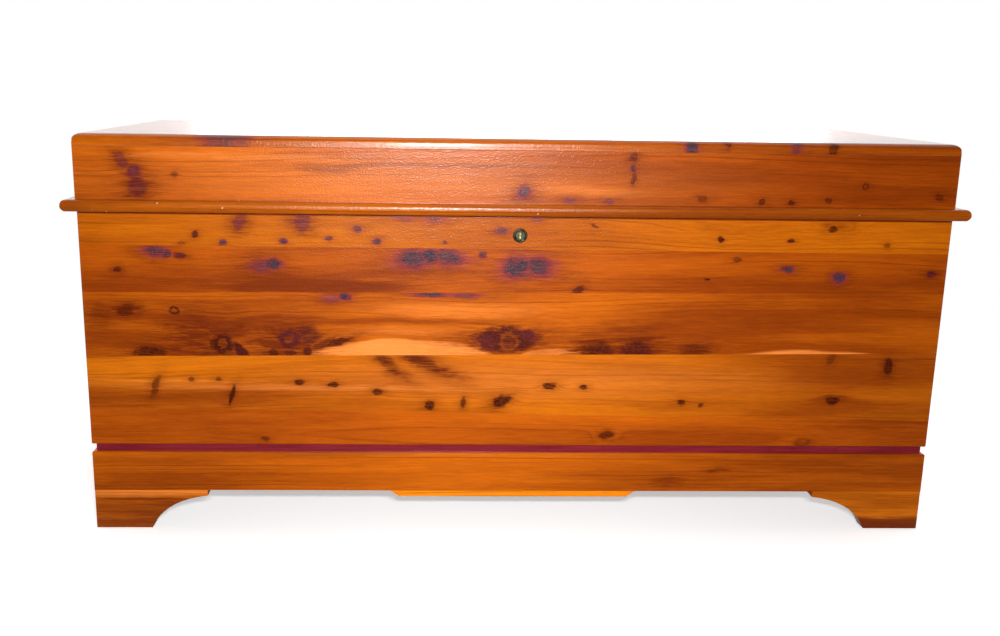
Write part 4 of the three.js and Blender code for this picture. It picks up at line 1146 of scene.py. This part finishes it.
class Lamp(NamedTuple):
    """An area lamp: place, aim, width and height in metres, its power's setting, and spread."""

    place: tuple
    aim: tuple
    size: tuple
    power: str
    spread: float = 180


LAMPS = {
    "Key": Lamp((-0.09, -1.62, 0.74), (-0.06, FRONT, 0.36), (0.22, 0.05), "key_power", 120),
    "Overhead": Lamp((0, 0.4, 2.4), (0, 0, 0.3), (2.2, 1.4), "top_power"),
    "Back": Lamp((0.2, 2.7, 1.3), (0, BACK, 0.3), (2.6, 1.4), "back_power"),
    "Left": Lamp((-2.8, 0.5, 1.2), (0, 0.2, 0.3), (1.6, 1.2), "end_power"),
    "Right": Lamp((2.8, 0.5, 1.2), (0, 0.2, 0.3), (1.6, 1.2), "end_power"),
}


def add_camera(scene, stage):
    data = bpy.data.cameras.new("Camera")
    camera = bpy.data.objects.new("Camera", data)
    scene.collection.objects.link(camera)
    data.lens = stage.focal
    data.sensor_width = CAMERA_SENSOR
    data.shift_x = CAMERA_SHIFT_SHARE
    turn = (
        Matrix.Rotation(-CAMERA_YAW, 4, "Z")
        @ Matrix.Rotation(math.pi / 2 - CAMERA_PITCH, 4, "X")
        @ Matrix.Rotation(CAMERA_ROLL, 4, "Z")
    )
    camera.matrix_world = Matrix.Translation(CAMERA_PLACE) @ turn
    scene.camera = camera


def add_lamp(scene, name, lamp, stage):
    data = bpy.data.lights.new(name, "AREA")
    data.shape = "RECTANGLE"
    data.size, data.size_y = lamp.size
    data.energy = getattr(stage, lamp.power)
    data.spread = math.radians(lamp.spread)
    shining = bpy.data.objects.new(name, data)
    shining.location = lamp.place
    towards = Vector(lamp.aim) - Vector(lamp.place)
    shining.rotation_euler = towards.to_track_quat("-Z", "Y").to_euler()
    scene.collection.objects.link(shining)


def gloss_sees(tree, rays):
    """1 for a ray that a glossy or a clear surface sends on, and 0 for all others."""
    return calc(tree, "MAXIMUM", rays["Is Glossy Ray"], rays["Is Transmission Ray"])


def floor_material(stage):
    """White to the camera from a step away on, dull to the chest, and dim in front of it."""
    material, tree, _ = new_material("Pale floor")
    tree.nodes.clear()

    def glow(strength):
        return put(tree, "Emission", {"Color": WHITE, "Strength": strength}).outputs["Emission"]

    def matt(grey):
        return put(tree, "BsdfDiffuse", {"Color": (grey, grey, grey)}).outputs["BSDF"]

    def either(share, first, second):
        return put(tree, "MixShader", {0: share, 1: first, 2: second}).outputs[0]

    place = put(tree, "TexCoord").outputs["Object"]
    from_chest = length_of(tree, place, (0.7, 1.0, 0))
    ahead = put(tree, "SeparateXYZ", {"Vector": place}).outputs["Y"]
    in_front = ramp(tree, ahead, *IN_FRONT)
    rays = put(tree, "LightPath").outputs
    diffuse = matt(0.8)
    white = glow(1.0)
    near = put(tree, "AddShader", {0: diffuse, 1: glow(0.5)}).outputs[0]
    seen = either(ramp(tree, from_chest, *FLOOR_FADE), near, white)
    mirrored = either(ramp(tree, from_chest, *MIRROR_FADE), diffuse, white)
    mirrored = either(in_front, mirrored, glow(stage.room_front))
    other = either(gloss_sees(tree, rays), matt(0.5), mirrored)
    put(tree, "OutputMaterial", {"Surface": either(rays["Is Camera Ray"], other, seen)})
    return material


def add_floor(stage):
    """A pale floor that fades into the white room a step away from the chest."""
    place = (0, 0, -FLOOR_DROP)
    floor = add_solid("Floor", bpy.ops.mesh.primitive_plane_add, size=FLOOR_WIDTH, location=place)
    floor.data.materials.append(floor_material(stage))


def add_room(scene, stage):
    """White behind the chest and dim on the photographer's side, as gloss sees it."""
    world = bpy.data.worlds.new("Room")
    scene.world = world
    world.use_nodes = True
    tree = world.node_tree
    tree.nodes.clear()
    rays = put(tree, "LightPath").outputs
    direction = put(tree, "TexCoord").outputs["Generated"]
    deep = put(tree, "SeparateXYZ", {"Vector": direction}).outputs["Y"]
    behind = ramp(tree, deep, -0.3, 0.3, stage.room_front, 1.04)
    glossy = gloss_sees(tree, rays)
    unseen = times(tree, calc(tree, "SUBTRACT", 1.0, glossy), stage.fill)
    level = calc(tree, "MULTIPLY_ADD", behind, glossy, unseen)
    level = calc(tree, "MAXIMUM", level, rays["Is Camera Ray"])
    background = put(tree, "Background", {"Color": WHITE, "Strength": level})
    put(tree, "OutputWorld", {"Surface": background.outputs[0]})


class CHEST_OT_stage(bpy.types.Operator):
    """Sets up the camera, the lamps, the floor and the room."""

    bl_idname = "chest.stage"
    bl_label = "Stage"

    def execute(self, context):
        stage = context.scene.chest_stage
        add_camera(context.scene, stage)
        for name, lamp in LAMPS.items():
            add_lamp(context.scene, name, lamp, stage)
        add_floor(stage)
        add_room(context.scene, stage)
        context.scene.view_settings.view_transform = "Standard"
        return {"FINISHED"}


# Boards

OUT_OF_REACH = Vector((0, 0, 1))  # lifts a rim off every edge, so that only corners are eased


def dress_board(node, board, outward, finish):
    """Cedar lacquered outside and bare on the faces that look inward."""
    outside = lacquered_cedar(f"{node} lacquered", board, node, finish)
    piece = worked_copy(node, outside, bare_cedar(f"{node} bare", board, node))
    for face in piece.data.polygons:
        face.material_index = int(face.normal.dot(outward) < -FACING)
    return piece


def side_of(node):
    """The way that a board of the case or the lid looks, from its name."""
    return next(way for side, way in OUTWARD.items() if node.startswith(side))


def bare_piece(node, number):
    """A board or a block left bare all round."""
    board = grown_board(node, number, *CASE_TONE)
    return worked_copy(node, bare_cedar(f"{node} bare", board, node))


def on_outline(low, high):
    """Test for edges on the vertical corners or the rim of a box."""

    def near(value, *levels):
        return any(abs(value - level) < TOUCH for level in levels)

    def test(a, b):
        middle = (a + b) / 2
        at_end, at_face = near(middle.x, low.x, high.x), near(middle.y, low.y, high.y)
        return (at_end and at_face) or (near(middle.z, high.z) and (at_end or at_face))

    return test


def in_outer_face(a, b):
    """Whether an edge lies in one of the outer faces of the case, its base or the lid."""
    planes = ((0, CASE_LOW.x), (0, CASE_HIGH.x), (0, LID_LOW.x), (0, LID_HIGH.x))
    planes += ((1, FRONT), (1, BACK), (1, LID_LOW.y))
    return any(abs(a[i] - at) < TOUCH and abs(b[i] - at) < TOUCH for i, at in planes)


class CHEST_OT_case(bpy.types.Operator):
    """Dresses the front, back, end and bottom boards of the case."""

    bl_idname = "chest.case"
    bl_label = "Case boards"

    def execute(self, context):
        finish = context.scene.chest_finish
        outline = on_outline(CASE_LOW, Vector((CASE_HIGH.x, CASE_HIGH.y, CASE_RIM)))
        boards = (node for node in NODES if "_board_" in node and "lid_top" not in node)
        for number, node in enumerate(boards, FIRST_NUMBER["case"]):
            if node.startswith("bottom"):
                piece = bare_piece(node, number)
            else:
                piece = dress_board(node, board_of(node, number), side_of(node), finish)
                ease(piece, finish.ease, outline)
            finish_piece(piece, node)
        return {"FINISHED"}


class CHEST_OT_base(bpy.types.Operator):
    """Dresses the accent strips, base rails, feet, drop and corner blocks."""

    bl_idname = "chest.base"
    bl_label = "Base"

    def execute(self, context):
        finish = context.scene.chest_finish
        for node in (node for node in NODES if "accent_strip" in node):
            finish_piece(worked_copy(node, maroon_lacquer(f"{node} lacquer", finish)), node)
        joint, top = (corner.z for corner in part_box("front_base_rail"))
        on_corner = on_outline(CASE_LOW, CASE_HIGH)

        def outer(a, b):
            """Test for the corners, and the edges at or below the joint or at the top."""
            within_rail = joint - TOUCH < (a.z + b.z) / 2 < top - TOUCH
            return on_corner(a, b) or (in_outer_face(a, b) and not within_rail)

        wooden = [node for node in NODES if slot_of(node) == "cedar_base"]
        for number, node in enumerate(wooden, FIRST_NUMBER["base"]):
            board = board_of(node, number, BASE_TONE, knotty=0.5)
            piece = dress_board(node, board, self.way_out(node), finish)
            ease(piece, finish.ease, outer)
            finish_piece(piece, node)
        blocks = (node for node in NODES if "corner_block" in node)
        for number, node in enumerate(blocks, FIRST_NUMBER["blocks"]):
            finish_piece(bare_piece(node, number), node)
        return {"FINISHED"}

    def way_out(self, node):
        """The way that a rail, a foot's piece or the drop looks."""
        middle = (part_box(node)[0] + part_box(node)[1]) / 2
        at_end = abs(middle.x) > abs(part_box("front_left_foot_face")[1].x)
        across = node.endswith("foot_side") or node.startswith(("left_base", "right_base"))
        if across and at_end:
            return RIGHTWARD * math.copysign(1, middle.x)
        return REARWARD * math.copysign(1, middle.y)


class CHEST_OT_lid(bpy.types.Operator):
    """Dresses the lid's top boards, rails and moulding."""

    bl_idname = "chest.lid"
    bl_label = "Lid"

    def execute(self, context):
        finish = context.scene.chest_finish
        boards = [node for node in NODES if node.startswith("lid_top")]
        boards += [node for node in NODES if node.endswith("lid_rail")]
        outline = on_outline(Vector((LID_LOW.x, LID_LOW.y, 0)), LID_HIGH + OUT_OF_REACH)

        def along_joint(a, b):
            return in_outer_face(a, b) and max(abs(a.z - LID_JOINT), abs(b.z - LID_JOINT)) < TOUCH

        for number, node in enumerate(boards, FIRST_NUMBER["lid"]):
            piece = dress_board(node, board_of(node, number), side_of(node), finish)
            ease(piece, finish.ease, outline)
            ease(piece, finish.ease, along_joint)
            finish_piece(piece, node)
        mouldings = (node for node in NODES if node.endswith("moulding"))
        for number, node in enumerate(mouldings, FIRST_NUMBER["mouldings"]):
            board = board_of(node, number, MOULDING_TONE, knotty=0)
            material = lacquered_cedar(f"{node} lacquered", board, node, finish, nicks=1.0)
            finish_piece(worked_copy(node, material), node)
        return {"FINISHED"}


# Hardware

PLATE_ARRIS = 0.3 * MM
LOCK_ARRIS = 0.25 * MM
SINK = 0.15 * MM  # how far a countersunk head lies under its plate
SLOT_TURNS = (0.4, 1.3, 2.2, 0.1, 1.8, 2.7, 0.9, 3.0, 1.5, 2.0)  # as a hand leaves them
SHANK_SHARE = 0.45
SHANK_LENGTH_SHARE = 2  # of the depth of a head
TIP_SHARE = 0.6
RIM_SHARE = 0.1
SLOT_RUN_SHARE = 3  # of a head's radius, so that a slot runs right across
SEAT_SHARES = {"radius1": 0.5, "radius2": 1.1}  # bottom and top of a seat, of a head's radius
SEAT_DEPTH_SHARE = 1.1
SEAT_LOW_SHARE = 0.45
SEAT_SIDES = 24
HINGE_SPREAD_SHARE = 0.36
HINGE_STAGGER = 1.6 * MM
STRIKE_PLATE = 1.5 * MM
STRIKE_SCREW_INSET = 10 * MM
STRIKE_SCREW_SHARES = (0.28, 0.72)
KEYWAY_MOUTH = 0.5 * MM
KEYWAY_DEPTH = 6 * MM
KEYWAY_SHARE = 0.25
CAM_SCREW_RADIUS = 4.6 * MM
CAM_SCREW_HEIGHT = 1.4 * MM
CAM_SCREW_DOME = 1.1 * MM
CAM_SCREW_SLOT = 0.9 * MM
BRACKET_PLATE = 2 * MM
BRACKET_SCREW_REACH = 16 * MM


def point_out(outward):
    """The turn that points a screw's head outward."""
    return outward.to_track_quat("Z", "Y").to_matrix().to_4x4()


def make_screw(name, radius, sizes):
    """A slotted countersunk screw with the top of its head at the origin, pointing down Z."""
    depth = sizes.depth
    add_cylinder = bpy.ops.mesh.primitive_cylinder_add
    head = {"vertices": sizes.sides, "radius": radius, "depth": depth}
    screw = add_solid(name, add_cylinder, location=(0, 0, -depth / 2), **head)
    down = {"value": (0, 0, -SHANK_LENGTH_SHARE * depth)}
    edit(
        lambda: select_faces(lambda normal: normal.z < -FACING),
        lambda: bpy.ops.transform.resize(value=(SHANK_SHARE, SHANK_SHARE, 1)),
        lambda: bpy.ops.mesh.extrude_region_move(TRANSFORM_OT_translate=down),
        lambda: bpy.ops.transform.resize(value=(TIP_SHARE, TIP_SHARE, 1)),
        lambda: select_edges(lambda a, b: min(a.z, b.z) > -TOUCH),
        lambda: bpy.ops.mesh.bevel(offset=radius * RIM_SHARE, segments=2, affect="EDGES"),
    )
    size = (SLOT_RUN_SHARE * radius, sizes.slot_width, depth)
    cut_away(screw, add_solid("Slot", bpy.ops.mesh.primitive_cube_add, size, size=1))
    return screw


class ScrewBox:
    """Slotted screws of one size and metal, copied from one pattern."""

    def __init__(self, name, radius, sizes, metal):
        self.radius = radius
        self.depth = sizes.depth
        self.pattern = make_screw(name, radius, sizes)
        self.pattern.data.materials.append(metal)

    def sink_seat(self, plate, place, outward):
        """Sinks a conical seat into a plate, open towards the outward direction."""
        radii = {key: self.radius * share for key, share in SEAT_SHARES.items()}
        seat = add_solid(
            "Seat",
            bpy.ops.mesh.primitive_cone_add,
            vertices=SEAT_SIDES,
            depth=self.depth * SEAT_DEPTH_SHARE,
            location=place - outward * self.depth * SEAT_LOW_SHARE,
            rotation=point_out(outward).to_euler(),
            **radii,
        )
        cut_away(plate, seat)

    def screw_down(self, plate, node, places, outward, first_turn):
        """Sinks a plate's seats, finishes the plate and sets its screws, each slot turned on."""
        for place in places:
            self.sink_seat(plate, place, outward)
        finish_piece(plate, node)
        for number, place in enumerate(places):
            screw = bpy.data.objects.new(f"{node}_screw_{number + 1}", self.pattern.data.copy())
            bpy.context.collection.objects.link(screw)
            slot_turn = SLOT_TURNS[(first_turn + number) % len(SLOT_TURNS)]
            laid = Matrix.Translation(place - outward * SINK) @ point_out(outward)
            screw.data.transform(laid @ Matrix.Rotation(slot_turn, 4, "Z"))
            finish_piece(screw, node, stands_in=False)

    def put_away(self):
        bpy.data.objects.remove(self.pattern, do_unlink=True)


class CHEST_OT_hinges(bpy.types.Operator):
    """Dresses the butt hinges and sinks three slotted screws into each leaf."""

    bl_idname = "chest.hinges"
    bl_label = "Hinges"

    def execute(self, context):
        sizes = context.scene.chest_screws
        brass = old_metal("Hinge brass", "c09a52", "6e5226", (40, 900, 900), 0.8)
        bright = old_metal("Screw brass", "c8a860", "7a5c2c", (300, 300, 300), 0.5)
        screws = ScrewBox("Hinge screw", sizes.hinge_head, sizes, bright)
        for side in ("left", "right"):
            for leaf, level, outward in (("case", CASE_RIM, UP), ("lid", LID_LOW.z, -UP)):
                node = f"{side}_hinge_{leaf}_leaf"
                piece = worked_copy(node, brass)
                ease(piece, PLATE_ARRIS, lambda a, b: max(a.y, b.y) < BACK - TOUCH, segments=2)
                places = self.screw_places(node, level)
                screws.screw_down(piece, node, places, outward, len(side) + len(leaf))
            node = f"{side}_hinge_pin"
            finish_piece(worked_copy(node, brass), node)
        screws.put_away()
        return {"FINISHED"}

    def screw_places(self, node, level):
        """Three places on a leaf: the outer two stand nearer to the front."""
        low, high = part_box(node)
        middle = (low.x + high.x) / 2
        reach = (low.y + BACK) / 2
        spread = (high.x - low.x) * HINGE_SPREAD_SHARE
        steps = ((-1, HINGE_STAGGER), (0, 0), (1, HINGE_STAGGER))
        return [Vector((middle + step * spread, reach - back, level)) for step, back in steps]


class CHEST_OT_lock(bpy.types.Operator):
    """Dresses the lock, its cam and the strike, with their screws."""

    bl_idname = "chest.lock"
    bl_label = "Lock"

    def execute(self, context):
        sizes = context.scene.chest_screws
        bronze = old_metal("Lock bronze", "4a4436", "1c2018", (200, 200, 200), 0.9)
        plug = old_metal("Lock plug", "66644e", "161e18", (60, 60, 900), 1.0)
        wafers = old_metal("Lock wafers", "c4b67c", "3c3626", (60, 60, 900), 0.5)
        steel = old_metal("Strike steel", "9c9a94", "5e5a50", (40, 400, 700), 0.7)
        metals = {
            "lock_housing": [bronze],
            "lock_nut": [bronze],
            "lock_plug": [plug, wafers],
            "lock_cam": [steel],
        }
        for node, materials in metals.items():
            piece = worked_copy(node, *materials)
            if node == "lock_plug":
                self.line_keyway(piece)
            ease(piece, LOCK_ARRIS, segments=2)
            finish_piece(piece, node)
        strike = worked_copy("lock_strike", steel)
        ease(strike, LOCK_ARRIS, segments=2)
        low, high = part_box("lock_strike")
        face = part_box("front_lid_rail")[1].y + STRIKE_PLATE
        places = [
            Vector((low.x + share * (high.x - low.x), face, high.z - STRIKE_SCREW_INSET))
            for share in STRIKE_SCREW_SHARES
        ]
        screws = ScrewBox("Plate screw", sizes.plate_head, sizes, steel)
        screws.screw_down(strike, "lock_strike", places, REARWARD, 0)
        screws.put_away()
        self.add_cam_screw(steel, sizes)
        return {"FINISHED"}

    def line_keyway(self, plug):
        """Shows the brass wafers inside the keyhole."""
        low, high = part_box("lock_plug")
        for face in plug.data.polygons:
            deep = low.y + KEYWAY_MOUTH < face.center.y < low.y + KEYWAY_DEPTH
            inner = abs(face.center.x) < (high.x - low.x) * KEYWAY_SHARE
            face.material_index = int(deep and inner)

    def add_cam_screw(self, material, sizes):
        """A domed screw on the plug's tail, which holds the cam."""
        middle = (0, 0, CAM_SCREW_HEIGHT / 2)
        head = {"vertices": sizes.sides, "radius": CAM_SCREW_RADIUS, "depth": CAM_SCREW_HEIGHT}
        add_cylinder = bpy.ops.mesh.primitive_cylinder_add
        screw = add_solid("lock_cam_screw", add_cylinder, location=middle, **head)
        edit(
            lambda: select_edges(lambda a, b: min(a.z, b.z) > CAM_SCREW_HEIGHT - TOUCH),
            lambda: bpy.ops.mesh.bevel(offset=CAM_SCREW_DOME, segments=4, affect="EDGES"),
        )
        size = (SLOT_RUN_SHARE * CAM_SCREW_RADIUS, CAM_SCREW_SLOT, CAM_SCREW_HEIGHT)
        top = (0, 0, CAM_SCREW_HEIGHT)
        add_cube = bpy.ops.mesh.primitive_cube_add
        cut_away(screw, add_solid("Slot", add_cube, size, size=1, location=top))
        low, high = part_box("lock_plug")
        tail = ((low.x + high.x) / 2, high.y, (low.z + high.z) / 2)
        screw.data.transform(Matrix.Translation(tail) @ point_out(REARWARD))
        screw.data.materials.append(material)
        finish_piece(screw, "lock_cam", stands_in=False)


class CHEST_OT_stay(bpy.types.Operator):
    """Dresses the jointed stay and screws its brackets down."""

    bl_idname = "chest.stay"
    bl_label = "Stay"

    def execute(self, context):
        sizes = context.scene.chest_screws
        steel = old_metal("Stay steel", "a3a19a", "6a665a", (700, 50, 50), 0.6)
        bright = old_metal("Stay screw steel", "b2b0a8", "78746a", (300, 300, 300), 0.5)
        screws = ScrewBox("Bracket screw", sizes.plate_head, sizes, bright)
        for node in ("stay_lower_arm", "stay_upper_arm"):
            piece = worked_copy(node, steel)
            ease(piece, PLATE_ARRIS, segments=2)
            finish_piece(piece, node)
        for node, first_turn in (("stay_case_bracket", 2), ("stay_lid_bracket", 1)):
            piece = worked_copy(node, steel)
            ease(piece, PLATE_ARRIS, segments=2)
            low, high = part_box(node)
            middle = (low + high) / 2
            places = [
                Vector((high.x - BRACKET_PLATE, middle.y + reach, middle.z))
                for reach in (-BRACKET_SCREW_REACH, BRACKET_SCREW_REACH)
            ]
            screws.screw_down(piece, node, places, -RIGHTWARD, first_turn)
        screws.put_away()
        return {"FINISHED"}


class CHEST_PT_sidebar(bpy.types.Panel):
    """Steps of the chest in the sidebar."""

    bl_label = "Cedar Blanket Chest"
    bl_idname = "CHEST_PT_sidebar"
    bl_space_type = "VIEW_3D"
    bl_region_type = "UI"
    bl_category = "Chest"

    def draw(self, context):
        for step in STEPS:
            self.layout.operator(step.bl_idname)


STEPS = (
    CHEST_OT_stage,
    CHEST_OT_case,
    CHEST_OT_base,
    CHEST_OT_lid,
    CHEST_OT_hinges,
    CHEST_OT_lock,
    CHEST_OT_stay,
)
SETTINGS = {"chest_finish": ChestFinish, "chest_screws": ChestScrews, "chest_stage": ChestStage}


def register():
    for item in (*SETTINGS.values(), *STEPS, CHEST_PT_sidebar):
        bpy.utils.register_class(item)
    for name, group in SETTINGS.items():
        setattr(bpy.types.Scene, name, PointerProperty(type=group))


def unregister():
    for name in SETTINGS:
        delattr(bpy.types.Scene, name)
    for item in (CHEST_PT_sidebar, *reversed(STEPS), *SETTINGS.values()):
        bpy.utils.unregister_class(item)


def main():
    register()
    bpy.ops.chest.stage()
    bpy.ops.chest.case()
    bpy.ops.chest.base()
    bpy.ops.chest.lid()
    bpy.ops.chest.hinges()
    bpy.ops.chest.lock()
    bpy.ops.chest.stay()


if __name__ == "__main__":
    main()
